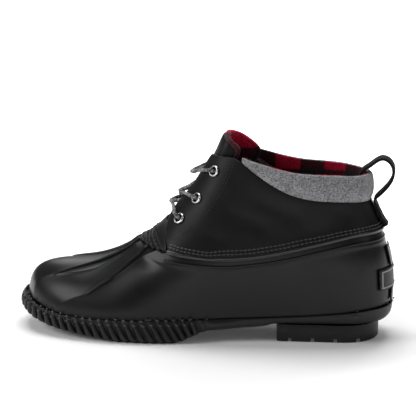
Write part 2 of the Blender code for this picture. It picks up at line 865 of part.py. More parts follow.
def make_cuff():
    count = 18
    sections = ((0.0, 0.55), (0.18, 0.95), (0.50, 1.0), (0.80, 0.85), (1.0, 0.45))
    outer, inner = [], []
    for row, fullness in sections:
        out_row, in_row = [], []
        for side in (1, -1):
            def level(turn, r=row):
                low = column(LEATHER_TOP, 1, way_of(turn)) + 0.012
                return low + r * (max(2.0, low + 0.03) - low)
            ring = Ring(level, side)
            start = float(np.interp(0.30, ring.turns, ring.runs))
            runs = [start + (ring.length - start) * i / count for i in range(count + 1)]
            if side < 0:
                runs = runs[-2::-1]
            for run in runs:
                swell = ease((run - start) / 45.0)
                out_row.append(ring.point(run, 2.2 + fullness * (1.4 + CUFF_PAD * swell)))
                in_row.append(ring.point(run, -0.6 + (1.0 - fullness) * 1.2))
        outer.append(out_row)
        inner.append(in_row)
    return wall_solid("collar_cuff", outer, inner, "felt")


def patch_solid(name, low, high, width, offset, thick, kind, rows=3, columns_count=6):
    """A patch on the heel's back between two heights, bent round it."""
    outer, inner = [], []
    for i in range(rows + 1):
        height = low + (high - low) * i / rows
        level = rim_level_back(height)
        out_row, in_row = [], []
        for j in range(-columns_count // 2, columns_count // 2 + 1):
            side = -1 if j < 0 else 1
            ring = Ring(level, side)
            run = ring.length - abs(j) / (columns_count / 2) * width / 2.0
            out_row.append(ring.point(run, offset + thick))
            in_row.append(ring.point(run, offset))
        outer.append(out_row[::-1])
        inner.append(in_row[::-1])
    return wall_solid(name, outer, inner, kind)


def rim_level_back(height):
    low, high = 0.0, 1.3
    for _ in range(24):
        level = (low + high) / 2.0
        if ring_point(level, 1.0).z < height:
            low = level
        else:
            high = level
    return (low + high) / 2.0


# The lacing: level of the eyelet, its share of EYELET_SETBACK, level where its strand goes in across the throat
LACING = (
    (1.32, 1.09, 1.54),
    (1.545, 1.13, 1.76),
    (1.84, 0.99, 1.93),
)


def eyelet_run(number):
    level, setback, _ = LACING[number]
    return throat_edge(level) + EYELET_SETBACK * setback


def eyelet_frame(number, side):
    ring = Ring(LACING[number][0], side)
    run = eyelet_run(number)
    seat = ring.point(run, BAND_STEP + FIT + LEATHER_WALL + 0.1)
    normal = (ring.point(run, 10.0) - ring.point(run, 0.0)).normalized()
    return seat, normal


def make_eyelets():
    sides = 12
    for number in range(len(LACING)):
        for side, word in ((-1, "outer"), (1, "inner")):
            seat, normal = eyelet_frame(number, side)
            across = normal.orthogonal().normalized()
            other = normal.cross(across)
            profile = (
                (EYELET_OUTER / 2.0, 0.0),
                (EYELET_OUTER / 2.0 - 0.5, 0.8),
                (EYELET_OUTER / 2.0 - 1.2, EYELET_PROUD),
                (EYELET_BORE / 2.0, 0.7),
                (EYELET_BORE / 2.0, 0.0),
            )
            work = bmesh.new()
            rings = []
            for far, up in profile:
                ring = []
                for i in range(sides):
                    turn = 2.0 * math.pi * i / sides
                    spot = seat + normal * (up + GAP)
                    spot += (across * math.cos(turn) + other * math.sin(turn)) * far
                    ring.append(work.verts.new(spot * MM))
                rings.append(ring)
            for a, b in zip(rings, rings[1:] + rings[:1]):
                for i in range(sides):
                    k = (i + 1) % sides
                    work.faces.new((a[i], a[k], b[k], b[i]))
            bmesh.ops.recalc_face_normals(work, faces=work.faces[:])
            add_object(f"eyelet_{word}_{number + 1}", work, "metal", smooth=60.0)


def tube(work, path, radius, sides=6):
    """A round bar along a smooth curve through a few points, added to a bmesh."""
    spots = []
    for i in range(len(path) - 1):
        before = path[max(i - 1, 0)]
        after = path[min(i + 2, len(path) - 1)]
        for k in range(2):
            s = k / 2.0
            a = 2 * s**3 - 3 * s**2 + 1
            b = s**3 - 2 * s**2 + s
            c = -2 * s**3 + 3 * s**2
            d = s**3 - s**2
            left = (path[i + 1] - before) / 2.0
            right = (after - path[i]) / 2.0
            spots.append(path[i] * a + left * b + path[i + 1] * c + right * d)
    spots.append(path[-1])
    rings = []
    hold = None
    for i, spot in enumerate(spots):
        ahead = (spots[min(i + 1, len(spots) - 1)] - spots[max(i - 1, 0)]).normalized()
        if hold is None:
            hold = ahead.orthogonal().normalized()
        hold = (hold - ahead * hold.dot(ahead)).normalized()
        other = ahead.cross(hold)
        ring = []
        for k in range(sides):
            turn = 2.0 * math.pi * k / sides
            ring.append(work.verts.new((spot + (hold * math.cos(turn) + other * math.sin(turn)) * radius) * MM))
        rings.append(ring)
    for a, b in zip(rings, rings[1:]):
        for k in range(sides):
            m = (k + 1) % sides
            work.faces.new((a[k], a[m], b[m], b[k]))
    work.faces.new(rings[0][::-1])
    work.faces.new(rings[-1])


def lace_path(number, side, over):
    """One strand: from beside its eyelet over the quarter's edge, across the tongue to the other edge."""
    level, _, far = LACING[number]
    middle = (level + far) / 2.0
    radius = LACE_DIAMETER / 2.0
    on_leather = BAND_STEP + FIT + LEATHER_WALL + radius + 0.5
    on_tongue = BAND_STEP + radius + 0.5
    near_ring = Ring(level, side)
    lift_ring = Ring(level + (middle - level) * 0.45, side)
    other_ring = Ring(far, -side)
    almost_ring = Ring(far - (far - middle) * 0.5, -side)
    edge = throat_edge(level)
    other_edge = throat_edge(far)
    crest = Ring(middle, side)
    return [
        near_ring.point(eyelet_run(number) - EYELET_OUTER / 2.0 - 0.8, on_leather),
        lift_ring.point(edge - 0.2, on_leather + 0.3),
        crest.point(0.0, on_tongue + (2.0 if over else 0.4)),
        almost_ring.point(other_edge * 0.5, on_tongue + 0.1),
        other_ring.point(other_edge - radius - 1.2, on_tongue),
    ]


def make_laces():
    for number in range(len(LACING)):
        parts = []
        for side, over in ((-1, number % 2 == 0), (1, number % 2 == 1)):
            work = bmesh.new()
            tube(work, lace_path(number, side, over), LACE_DIAMETER / 2.0)
            bmesh.ops.recalc_face_normals(work, faces=work.faces[:])
            parts.append(add_object(f"lace_cross_{number + 1}" if side < 0 else f"lace_help_{number + 1}",
                                    work, "cord", smooth=60.0))
        join = parts[0].modifiers.new("cross", "BOOLEAN")
        join.operation = "UNION"
        join.object = parts[1]
        parts[1].hide_render = True
        parts[1].display_type = "WIRE"


def make_pull_loop():
    """A folded tape: sewn inside the collar's back, over in a loop and down the back of the leather."""
    cover = BAND_STEP + FIT + LEATHER_WALL + GAP + 0.2
    low_level = 1.03
    path = []
    for level in (low_level, 1.12, 1.22, 1.33, 1.42, 1.50):
        spot = upper_point(level, 1.0, cover + TAPE_THICKNESS / 2.0)
        path.append(Vector((spot.x, 0.0, spot.z)))
    top = path[-1]
    rim = upper_point(2.0, 1.0, 0.0)
    path += [
        Vector((top.x + 6.0, 0.0, top.z + 5.5)),
        Vector((top.x + 12.0, 0.0, top.z + 12.0)),
        Vector((top.x + 15.2, 0.0, top.z + 19.0)),
        Vector((top.x + 14.6, 0.0, top.z + 26.5)),
        Vector((top.x + 10.0, 0.0, top.z + 31.6)),
        Vector((top.x + 4.0, 0.0, top.z + 32.6)),
        Vector((rim.x + 2.0, 0.0, rim.z + 4.6)),
        Vector((rim.x - 3.2, 0.0, rim.z + 2.4)),
        Vector((rim.x - 5.4, 0.0, rim.z - 4.0)),
        Vector((rim.x - 6.0, 0.0, rim.z - 14.0)),
    ]
    work = bmesh.new()
    rings = []
    for i, spot in enumerate(path):
        ahead = (path[min(i + 1, len(path) - 1)] - path[max(i - 1, 0)]).normalized()
        out = Vector((ahead.z, 0.0, -ahead.x))
        half = TAPE_THICKNESS / 2.0
        flare = 1.0 if i == 0 else 0.0
        ring = []
        for wide, deep in ((-1, -1), (1, -1), (1, 1), (-1, 1)):
            corner = spot + out * (deep * half + (flare if deep > 0 else 0.0))
            corner += Vector((0.0, wide * TAPE_WIDTH / 2.0, 0.0))
            ring.append(work.verts.new(corner * MM))
        rings.append(ring)
    for a, b in zip(rings, rings[1:]):
        for k in range(4):
            m = (k + 1) % 4
            work.faces.new((a[k], a[m], b[m], b[k]))
    work.faces.new(rings[0][::-1])
    work.faces.new(rings[-1])
    bmesh.ops.recalc_face_normals(work, faces=work.faces[:])
    return add_object("pull_loop", work, "tape", smooth=30.0)


def make_heel_trim():
    lift = GAP
    patch_solid("heel_strip_low", STRIP_FOOT, LABEL_FOOT - STRIP_GAP, STRIP_WIDTH, lift, STRIP_PROUD, "rubber", rows=2)
    patch_solid("heel_label", LABEL_FOOT, LABEL_TOP, LABEL_WIDTH, lift, LABEL_PROUD, "rubber", rows=3, columns_count=14)
    patch_solid("heel_strip_high", LABEL_TOP + STRIP_GAP, STRIP_TOP, STRIP_WIDTH, lift, STRIP_PROUD, "rubber", rows=3)


def main():
    clear_scene()
    make_outsole()
    make_heel()
    make_insole()
    make_shell()
    make_leather()
    make_vamp()
    make_tongue()
    make_cuff()
    make_heel_trim()
    make_eyelets()
    make_laces()
    make_pull_loop()


main()
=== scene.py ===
import math

import bmesh
import bpy
import numpy as np
from mathutils import Matrix, Vector
from mathutils.bvhtree import BVHTree


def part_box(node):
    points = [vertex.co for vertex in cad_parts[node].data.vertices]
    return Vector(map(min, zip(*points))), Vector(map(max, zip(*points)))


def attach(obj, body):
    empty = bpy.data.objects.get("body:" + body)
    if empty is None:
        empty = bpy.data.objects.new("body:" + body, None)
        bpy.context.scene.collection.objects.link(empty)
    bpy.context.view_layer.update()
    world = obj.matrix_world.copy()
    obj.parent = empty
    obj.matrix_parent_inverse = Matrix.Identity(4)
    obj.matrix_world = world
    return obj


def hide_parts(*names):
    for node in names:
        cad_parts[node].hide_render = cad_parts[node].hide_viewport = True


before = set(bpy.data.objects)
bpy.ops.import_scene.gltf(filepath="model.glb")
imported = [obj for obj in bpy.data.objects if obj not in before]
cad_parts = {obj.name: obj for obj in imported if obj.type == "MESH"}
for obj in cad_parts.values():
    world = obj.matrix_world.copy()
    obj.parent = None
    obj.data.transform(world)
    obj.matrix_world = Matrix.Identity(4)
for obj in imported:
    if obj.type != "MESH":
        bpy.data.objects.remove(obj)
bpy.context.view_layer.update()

# The foot's middle line lies a little to the inner side of the part's own middle.
MIDLINE = 0.003


# Materials: each is a Principled shader with a few textures, in metres on the part.
def finish(name, colour, roughness, **sockets):
    """A Principled material with its constants set on the shader's own sockets."""
    made = bpy.data.materials.new(name)
    made.use_nodes = True
    shader = made.node_tree.nodes["Principled BSDF"]
    shader.inputs["Base Color"].default_value = (*colour, 1.0)
    shader.inputs["Roughness"].default_value = roughness
    for socket, value in sockets.items():
        shader.inputs[socket.replace("_", " ")].default_value = value
    return made


def node(made, kind, inputs=None, **settings):
    """A node in a material; an input is a value or another node's output."""
    new = made.node_tree.nodes.new(kind)
    for key, value in settings.items():
        setattr(new, key, value)
    for key, value in (inputs or {}).items():
        if isinstance(value, bpy.types.NodeSocket):
            made.node_tree.links.new(value, new.inputs[key])
        else:
            new.inputs[key].default_value = value
    return new


def into(made, socket, output):
    """Leads a node's output into one of the shader's sockets."""
    made.node_tree.links.new(output, made.node_tree.nodes["Principled BSDF"].inputs[socket])


def spot_on(made):
    """Where a point lies on the part, for the textures of a material."""
    return node(made, "ShaderNodeTexCoord").outputs["Object"]


def noise(made, where, scale, detail, **more):
    """Cloudy noise, with its scale in waves a metre."""
    inputs = {"Vector": where, "Scale": scale, "Detail": detail, **more}
    return node(made, "ShaderNodeTexNoise", inputs).outputs["Fac"]


def spread_over(made, value, low, high, to_low, to_high):
    """A value taken from one span onto another, and held at its ends."""
    spans = {"From Min": low, "From Max": high, "To Min": to_low, "To Max": to_high}
    return node(made, "ShaderNodeMapRange", {"Value": value, **spans}).outputs["Result"]


def maths(made, operation, *values):
    """A sum on numbers and outputs."""
    return node(made, "ShaderNodeMath", dict(enumerate(values)), operation=operation).outputs["Value"]


def blend(made, share, one, two):
    """Two values mixed, with the share of the second."""
    return node(made, "ShaderNodeMix", {"Factor": share, "A": one, "B": two}).outputs["Result"]


def relief(made, height, strength, distance, **under):
    """A bump from a height, laid over the one given as Normal, if any."""
    inputs = {"Height": height, "Strength": strength, "Distance": distance, **under}
    return node(made, "ShaderNodeBump", inputs).outputs["Normal"]


def shades(made, factor, *stops):
    """Colours blended by a factor; each stop is a position and a colour."""
    ramp = node(made, "ShaderNodeValToRGB", {"Fac": factor})
    elements = ramp.color_ramp.elements
    for index, (position, colour) in enumerate((stops[0], stops[-1])):
        elements[index].position = position
        elements[index].color = (*colour, 1.0)
    for position, colour in stops[1:-1]:
        elements.new(position).color = (*colour, 1.0)
    return ramp.outputs["Color"]


# Studio: a pale seamless sweep, with a large soft light overhead, one at each side and one behind.
# The camera is a long lens a little above the shoe and a little towards its heel.
AIM = Vector((-0.093, 0.0, 0.0968))
AZIMUTH, ELEVATION = math.radians(7.0), math.radians(13.0)
CAMERA_DISTANCE = 1.6
LENS = 178.2

bpy.ops.object.camera_add()
camera = bpy.context.object
camera.name = "camera"
back = Vector((math.sin(AZIMUTH) * math.cos(ELEVATION), -math.cos(AZIMUTH) * math.cos(ELEVATION),
               math.sin(ELEVATION)))
camera.location = AIM + back * CAMERA_DISTANCE
camera.rotation_mode = "QUATERNION"
camera.rotation_quaternion = (-back).to_track_quat("-Z", "Y")
camera.data.lens = LENS
camera.data.sensor_width = 36.0
camera.data.clip_start = 0.05
camera.data.clip_end = 60.0
bpy.context.scene.camera = camera

bpy.ops.mesh.primitive_plane_add(size=14.0, location=(0.0, 0.0, 0.0))
floor = bpy.context.object
floor.name = "floor"
pale = finish("pale_floor", (0.95, 0.95, 0.95), 0.8, Emission_Color=(1.0, 1.0, 1.0, 1.0))
# The sweep glows a little away from the shoe, as an evenly lit studio floor does.
SHADE_RADIUS = 0.14
GLOW_RADIUS = 0.42
centred = node(pale, "ShaderNodeMapping", {"Vector": spot_on(pale), "Location": (0.095, 0.0, 0.0)})
away = node(pale, "ShaderNodeVectorMath", {0: centred.outputs["Vector"]}, operation="LENGTH")
glow = spread_over(pale, away.outputs["Value"], SHADE_RADIUS, GLOW_RADIUS, 0.05, 0.95)
into(pale, "Emission Strength", glow)
floor.data.materials.append(pale)

world = bpy.context.scene.world or bpy.data.worlds.new("studio")
bpy.context.scene.world = world
world.use_nodes = True
world.node_tree.nodes["Background"].inputs["Color"].default_value = (1.0, 1.0, 1.0, 1.0)
world.node_tree.nodes["Background"].inputs["Strength"].default_value = 0.11
bpy.context.scene.view_settings.view_transform = "Standard"

# Each light's name, place, size and power; all of them look at the shoe's middle.
SHOE_MIDDLE = Vector((-0.1, 0.0, 0.05))
LIGHTS = (
    ("light_top", (-0.20, 0.42, 1.45), (1.2, 0.7), 18.0),
    ("light_toe", (-1.3, -0.6, 0.9), (0.7, 0.7), 11.0),
    ("light_heel", (1.2, -0.5, 0.9), (0.6, 0.8), 2.0),
    ("light_back", (-0.1, 1.5, 0.9), (1.6, 0.6), 7.0),
)
for name, spot, size, power in LIGHTS:
    bpy.ops.object.light_add(type="AREA", location=spot)
    light = bpy.context.object
    light.name = name
    light.data.shape = "RECTANGLE"
    light.data.size, light.data.size_y = size
    light.data.energy = power
    light.rotation_mode = "QUATERNION"
    light.rotation_quaternion = (SHOE_MIDDLE - Vector(spot)).to_track_quat("-Z", "Y")


# Pieces: each starts from its solid in the frame or from a path on one, and is then rounded.
def only(piece):
    """Selects a piece and nothing else."""
    if bpy.context.mode != "OBJECT":
        bpy.ops.object.mode_set(mode="OBJECT")
    bpy.ops.object.select_all(action="DESELECT")
    piece.select_set(True)
    bpy.context.view_layer.objects.active = piece


def stand(name, mesh):
    """A new piece in the scene, from a mesh."""
    piece = bpy.data.objects.new(name, mesh)
    bpy.context.scene.collection.objects.link(piece)
    return piece


def built(name, work):
    """A new piece in the scene, from a working mesh that is finished."""
    mesh = bpy.data.meshes.new(name)
    work.to_mesh(mesh)
    work.free()
    return stand(name, mesh)


def opened(piece):
    """A working mesh with a piece's form and its normals."""
    work = bmesh.new()
    work.from_mesh(piece.data)
    work.normal_update()
    return work


def written(work, piece):
    """Gives a piece the form of a working mesh that is finished."""
    work.to_mesh(piece.data)
    work.free()


def cast(source, name):
    """A new piece with the form of a solid of the frame, its facets merged back into quads."""
    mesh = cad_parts[source].data.copy()
    mesh.name = name
    mesh.materials.clear()
    piece = stand(name, mesh)
    only(piece)
    bpy.ops.object.mode_set(mode="EDIT")
    bpy.ops.mesh.customdata_custom_splitnormals_clear()
    bpy.ops.mesh.select_all(action="SELECT")
    bpy.ops.mesh.remove_doubles(threshold=0.00002)
    bpy.ops.mesh.mark_sharp(clear=True)
    bpy.ops.mesh.tris_convert_to_quads(face_threshold=math.radians(50), shape_threshold=math.radians(80),
                                       topology_influence=1.2)
    bpy.ops.object.mode_set(mode="OBJECT")
    return piece


def apply(piece, kind, **settings):
    """Adds a modifier to a piece and applies it at once."""
    only(piece)
    made = piece.modifiers.new(kind.lower(), kind)
    for key, value in settings.items():
        setattr(made, key, value)
    bpy.ops.object.modifier_apply(modifier=made.name)


def subdivide(piece, levels):
    """Rounds a piece by subdivision."""
    apply(piece, "SUBSURF", levels=levels, render_levels=levels)


def keep_sharp(piece, rule, amount=1.0):
    """Creases the edges whose two faces a rule picks, so that subdivision rounds them less."""
    work = opened(piece)
    crease = work.edges.layers.float.get("crease_edge") or work.edges.layers.float.new("crease_edge")
    for edge in work.edges:
        if len(edge.link_faces) == 2 and rule(*edge.link_faces):
            edge[crease] = amount
    written(work, piece)


def bent(most):
    """A rule for edges where two faces meet at more than an angle, given by its cosine."""
    return lambda one, two: one.normal.dot(two.normal) < most


def place(piece, material, slot, *nodes):
    """Gives a finished piece its material, and sets it on the shoe in the place of its solids."""
    piece.data.materials.clear()
    piece.data.materials.append(material)
    for face in piece.data.polygons:
        face.use_smooth = True
    if nodes:
        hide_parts(*nodes)
    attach(piece, "root")


def rubber(name, colour, low, high, grain, depth, **sockets):
    """Moulded rubber: a dark body with cloudy gloss and the mould's fine texture."""
    made = finish(name, colour, (low + high) / 2.0, **sockets)
    where = spot_on(made)
    into(made, "Roughness", spread_over(made, noise(made, where, 38.0, 5.0), 0.3, 0.7, low, high))
    soft = relief(made, noise(made, where, 24.0, 1.0), 0.25, 0.0006)
    into(made, "Normal", relief(made, noise(made, where, grain, 3.0), depth, 0.0003, Normal=soft))
    return made


def from_table(table, at):
    """A value read between the rows of a table of places and values."""
    return float(np.interp(at, [row[0] for row in table], [row[1] for row in table]))


# Outsole: one rubber moulding, with the ribbed rand round the forefoot, the plain raised waist and
# the heel seat's band. It is cemented to the shell, and its rim stands round the shell's foot.
DOWNWARD = -0.85
tread_corner = bent(0.75)
sole_rubber = rubber("sole_rubber", (0.0065, 0.0065, 0.007), 0.36, 0.52, 900.0, 0.30,
                     Specular_IOR_Level=0.35)
sole = cast("outsole", "outsole_moulding")
keep_sharp(sole, lambda one, two: min(one.normal.z, two.normal.z) < DOWNWARD and tread_corner(one, two))
subdivide(sole, 2)

# The ribs lean back from the rand's rim down to the tread, more so towards the waist: the table has
# the place along the part and the lean for each metre of drop.
RIM_HEIGHT = 0.0175
RAKE = ((-0.245, 0.10), (-0.215, 0.34), (-0.160, 0.48), (-0.120, 0.55), (-0.104, 0.40), (-0.088, 0.05))
HALF_BALL = 0.046

# The rand's front curls up a little more than the sole does behind it.
CURL_START = -0.205
CURL_RUN = 0.034
CURL_RISE = 0.0023


def rake(piece):
    """Curls a piece of the rand up at the toe, and leans its lower part back at the sides."""
    for vertex in piece.data.vertices:
        curl = min(max((CURL_START - vertex.co.x) / CURL_RUN, 0.0), 1.0)
        vertex.co.z += CURL_RISE * curl * curl
        drop = max(RIM_HEIGHT - vertex.co.z, 0.0)
        lean = from_table(RAKE, vertex.co.x)
        side = min(abs(vertex.co.y) / (HALF_BALL * 0.75), 1.0) ** 2
        vertex.co.x += lean * drop * side


def tree_of(*pieces):
    """One search tree of the surfaces of some pieces."""
    work = bmesh.new()
    for piece in pieces:
        work.from_mesh(piece.data)
    found = BVHTree.FromBMesh(work)
    work.free()
    return found


def copies(name, one, frames):
    """Joins copies of a small mesh, one at each frame: a middle and three unit axes, as one piece."""
    corners = np.array([vertex.co for vertex in one.vertices])
    faces = [list(face.vertices) for face in one.polygons]
    points = []
    every = []
    for count, (middle, along, across, up) in enumerate(frames):
        turned = corners @ np.array([along, across, up]) + np.array(middle)
        points.append(turned)
        every += [[index + count * len(corners) for index in face] for face in faces]
    mesh = bpy.data.meshes.new(name)
    mesh.from_pydata(np.concatenate(points).tolist(), [], every)
    mesh.update()
    return stand(name, mesh)


def lozenge(length, width, height, segments=8, rings=6):
    """A small rounded bar, the form of one stitch or one moulded bump."""
    bpy.ops.mesh.primitive_uv_sphere_add(segments=segments, ring_count=rings, radius=0.5)
    made = bpy.context.object
    bpy.ops.object.mode_set(mode="EDIT")
    bpy.ops.transform.rotate(value=math.radians(90), orient_axis="Y", center_override=(0.0, 0.0, 0.0))
    bpy.ops.transform.resize(value=(length, width, height), center_override=(0.0, 0.0, 0.0))
    bpy.ops.object.mode_set(mode="OBJECT")
    mesh = made.data.copy()
    bpy.data.objects.remove(made, do_unlink=True)
    return mesh


def ring_of(work, middle, across, other, radius, sides):
    """Points of a circle about a middle, in the plane of two axes."""
    turns = [2.0 * math.pi * k / sides for k in range(sides)]
    return [work.verts.new(middle + (across * math.cos(turn) + other * math.sin(turn)) * radius)
            for turn in turns]


def skin(work, one, two):
    """The faces between two rings of points."""
    pairs = zip(one, one[1:] + one[:1], two, two[1:] + two[:1])
    return [work.faces.new((a, b, d, c)) for a, b, c, d in pairs]


def level(turn):
    """A level direction at a turn about the upright."""
    return Vector((math.cos(turn), math.sin(turn), 0.0))


# Moulded mock stitches: pairs of small bumps where each rib meets the rand's rim. The ribs are found by
# rays from all round the forefoot, at the places that stand proud of the rand to either side.
FOREFOOT = Vector((-0.150, MIDLINE, 0.0))
RAY_START = 0.2
SCAN_TURNS = np.linspace(math.radians(40), math.radians(320), 2400)
SCAN_HEIGHT = 0.0125
BLUR = 24
BESIDE = 8
RIB_PROUD = 0.0002
RIB_APART = 0.004
RIM_SPAN = (0.030, 0.012)
RIM_STEP = 0.0004
RIM_BACK = 0.0035
RUN_DROP = 0.0010
RUN_FOOT = 0.0006
RUN_STEP = 0.0012
RUN_BACK = 0.0045
# How far each of the two bumps sits below the rim, and how far out from it.
BUMPS = ((0.0000, -0.0002), (0.0026, 0.0010))
BUMP_PROUD = 0.0012
sole_tree = tree_of(sole)


def reach(turn, height):
    """The rand's surface at a turn about the forefoot and a height, and how far out it is."""
    start = FOREFOOT + level(turn) * RAY_START + Vector((0.0, 0.0, height))
    hit, _, _, _ = sole_tree.ray_cast(start, -level(turn))
    return (hit, (hit - FOREFOOT).xy.length) if hit else (None, 0.0)


reaches = np.array([reach(turn, SCAN_HEIGHT)[1] for turn in SCAN_TURNS])
window = np.ones(2 * BLUR + 1) / (2.0 * BLUR + 1.0)
proud = reaches - np.convolve(np.pad(reaches, BLUR, mode="edge"), window, mode="valid")
ribs = []
frames = []
last = None
for i in range(BESIDE, len(SCAN_TURNS) - BESIDE):
    if proud[i] < RIB_PROUD or proud[i] < proud[i - BESIDE:i + BESIDE + 1].max():
        continue
    outward = level(SCAN_TURNS[i])
    rim = None
    for height in np.arange(*RIM_SPAN, -RIM_STEP):
        hit, far = reach(SCAN_TURNS[i], float(height))
        if hit and far > reaches[i] - RIM_BACK:
            rim = hit
            break
    if rim is None or last is not None and (rim - last).length < RIB_APART:
        continue
    last = rim
    along = Vector((-outward.y, outward.x, 0.0))
    run = []
    for height in np.arange(float(rim.z) - RUN_DROP, RUN_FOOT, -RUN_STEP):
        hit, far = reach(SCAN_TURNS[i], float(height))
        if hit is None or far < reaches[i] - RUN_BACK:
            continue
        run.append(hit)
    if len(run) > 3:
        ribs.append((run, outward))
    for low, out in BUMPS:
        spot, normal, _, _ = sole_tree.find_nearest(rim - Vector((0.0, 0.0, low)) + outward * out)
        up = normal.normalized()
        side = (along - up * along.dot(up)).normalized()
        frames.append((spot + up * BUMP_PROUD, side, up.cross(side), up))

# Each rib is a rounded finger with a fuller lower end, standing on the rand's own rib: the table has
# the share of its length from the rim down, and its radius there.
FINGER = ((0.0, 0.0012), (0.08, 0.0021), (0.45, 0.0025), (0.78, 0.0030), (0.92, 0.0028), (1.0, 0.0017))
FINGER_SIDES = 12
FINGER_STEPS = 10
FINGER_SUNK = 0.0016
GROUND_GAP = 0.0002
work = bmesh.new()
for run, outward in ribs:
    across = Vector((-outward.y, outward.x, 0.0))
    last = None
    for step in range(FINGER_STEPS + 1):
        share = step / FINGER_STEPS
        at = share * (len(run) - 1)
        low = min(int(at), len(run) - 2)
        wide = from_table(FINGER, share)
        middle = run[low].lerp(run[low + 1], at - low) - outward * (FINGER_SUNK - wide * 0.25)
        ring = ring_of(work, middle, outward, across, wide, FINGER_SIDES)
        if last:
            skin(work, last, ring)
        else:
            work.faces.new(ring)
        last = ring
    work.faces.new(last[::-1])
bmesh.ops.recalc_face_normals(work, faces=work.faces[:])
rand_ribs = built("rand_ribs", work)
# The mock stitches are moulded in the sole's own rubber; their paler colour is a painted highlight, for the
# bright dots at the rib tops.
painted_highlight_rubber = rubber("painted_highlight_rubber", (0.030, 0.030, 0.031), 0.22, 0.34, 900.0, 0.10)
bumps = copies("rand_stitches", lozenge(0.0026, 0.0015, 0.0013), frames)
for piece in (sole, rand_ribs, bumps):
    rake(piece)
subdivide(rand_ribs, 1)
for vertex in rand_ribs.data.vertices:
    vertex.co.z = max(vertex.co.z, GROUND_GAP)
place(sole, sole_rubber, "sole_rubber", "outsole")
place(rand_ribs, sole_rubber, "sole_rubber")
place(bumps, painted_highlight_rubber, "sole_rubber")


# Heel: a low block of solid rubber with cross grooves, its edges a little rounded from the mould. It is
# cemented to the sole under the heel seat.
heel = cast("heel", "heel_block")
apply(heel, "BEVEL", width=0.0006, segments=2, limit_method="ANGLE", angle_limit=math.radians(30))
place(heel, sole_rubber, "sole_rubber", "heel")
only(heel)
bpy.ops.object.shade_smooth_by_angle(angle=math.radians(35))


# Rubber shell: the moulded bootfoot, hollow and satin black, with two ridges a side over the toe and a
# raised band round its top, where the leather is stitched down. It sits in the outsole's rim.
shell_rubber = rubber("shell_rubber", (0.0050, 0.0052, 0.0056), 0.30, 0.40, 1400.0, 0.08,
                      Specular_IOR_Level=0.25)
shell = cast("rubber_shell", "shell_moulding")
subdivide(shell, 3)
place(shell, shell_rubber, "shell_rubber", "rubber_shell")

# Heel strips: rubber bars up the back of the shell, above and below the label plate, moulded in one with
# it. Their corners stay fairly sharp.
STRIP_CORNER = 0.6
for source in ("heel_strip_low", "heel_strip_high"):
    strip = cast(source, source + "_moulding")
    keep_sharp(strip, bent(STRIP_CORNER), 0.8)
    subdivide(strip, 2)
    place(strip, shell_rubber, "shell_rubber", source)

# Label: a bare rubber plate bonded round the back of the heel, duller than the shell, with a fine pale
# frame moulded on it.
label_rubber = rubber("label_rubber", (0.008, 0.008, 0.009), 0.45, 0.55, 900.0, 0.15,
                      Specular_IOR_Level=0.35)
label = cast("heel_label", "label_plate")
keep_sharp(label, bent(STRIP_CORNER), 0.85)
subdivide(label, 2)
place(label, label_rubber, "label_rubber", "heel_label")


def sweep(name, path, radius, sides=8, squash=1.0, ups=None, closed=False):
    """A round or flattened cord along a path, with its length in the UV map's second value."""
    work = bmesh.new()
    sheet = work.loops.layers.uv.new("cord")
    path = [Vector(spot) for spot in path]
    last = len(path) - 1
    radii = radius if isinstance(radius, (list, tuple)) else [radius] * len(path)
    rings = []
    lengths = [0.0]
    hold = None
    for i, spot in enumerate(path):
        if closed:
            ahead = (path[(i + 1) % len(path)] - path[i - 1]).normalized()
        else:
            ahead = (path[min(i + 1, last)] - path[max(i - 1, 0)]).normalized()
        if ups is not None:
            hold = Vector(ups[i])
        elif hold is None:
            hold = ahead.orthogonal()
        hold = (hold - ahead * hold.dot(ahead)).normalized()
        rings.append(ring_of(work, spot, hold * squash, ahead.cross(hold), radii[i], sides))
        if i:
            lengths.append(lengths[-1] + (spot - path[i - 1]).length)
    if closed:
        rings.append(rings[0])
        lengths.append(lengths[-1] + (path[0] - path[-1]).length)
    for i in range(len(rings) - 1):
        for k, face in enumerate(skin(work, rings[i], rings[i + 1])):
            for loop, (u, v) in zip(face.loops, ((k, i), (k + 1, i), (k + 1, i + 1), (k, i + 1))):
                loop[sheet].uv = (u / sides, lengths[v])
    if not closed:
        work.faces.new(rings[0][::-1])
        work.faces.new(rings[-1])
    return built(name, work)


# Toe ridges: two moulded beads a side, running down from the leather's edge and dying out on the toe.
# Each has its start, the point that bends it and its end, and lies sunk in the shell's surface.
RIDGES = (
    ((-0.145, -0.002, 0.069), (-0.178, -0.009, 0.0560), (-0.213, -0.019, 0.040)),
    ((-0.137, -0.020, 0.064), (-0.160, -0.033, 0.0490), (-0.185, -0.045, 0.032)),
)
RIDGE_RADIUS = 0.0020
RIDGE_PROUD = 0.0003
RIDGE_SHARES = np.linspace(0.0, 1.0, 40).tolist()
shell_tree = tree_of(shell)
for number, (start, middle, end) in enumerate(RIDGES, start=1):
    for word, side in (("outer", 1.0), ("inner", -1.0)):
        path = []
        ups = []
        for share in RIDGE_SHARES:
            spot = (Vector(start) * (1.0 - share) ** 2 + Vector(middle) * 2.0 * share * (1.0 - share)
                    + Vector(end) * share ** 2)
            spot.y = MIDLINE + side * (spot.y - MIDLINE)
            hit, normal, _, _ = shell_tree.find_nearest(spot + Vector((0.0, 0.0, 0.004)))
            path.append(hit + normal * RIDGE_PROUD)
            ups.append(normal)
        radii = [RIDGE_RADIUS * (1.0 - 0.8 * share ** 3) for share in RIDGE_SHARES]
        bead = sweep(f"toe_ridge_{word}_{number}", path, radii, sides=12, squash=0.85, ups=ups)
        place(bead, shell_rubber, "shell_rubber")


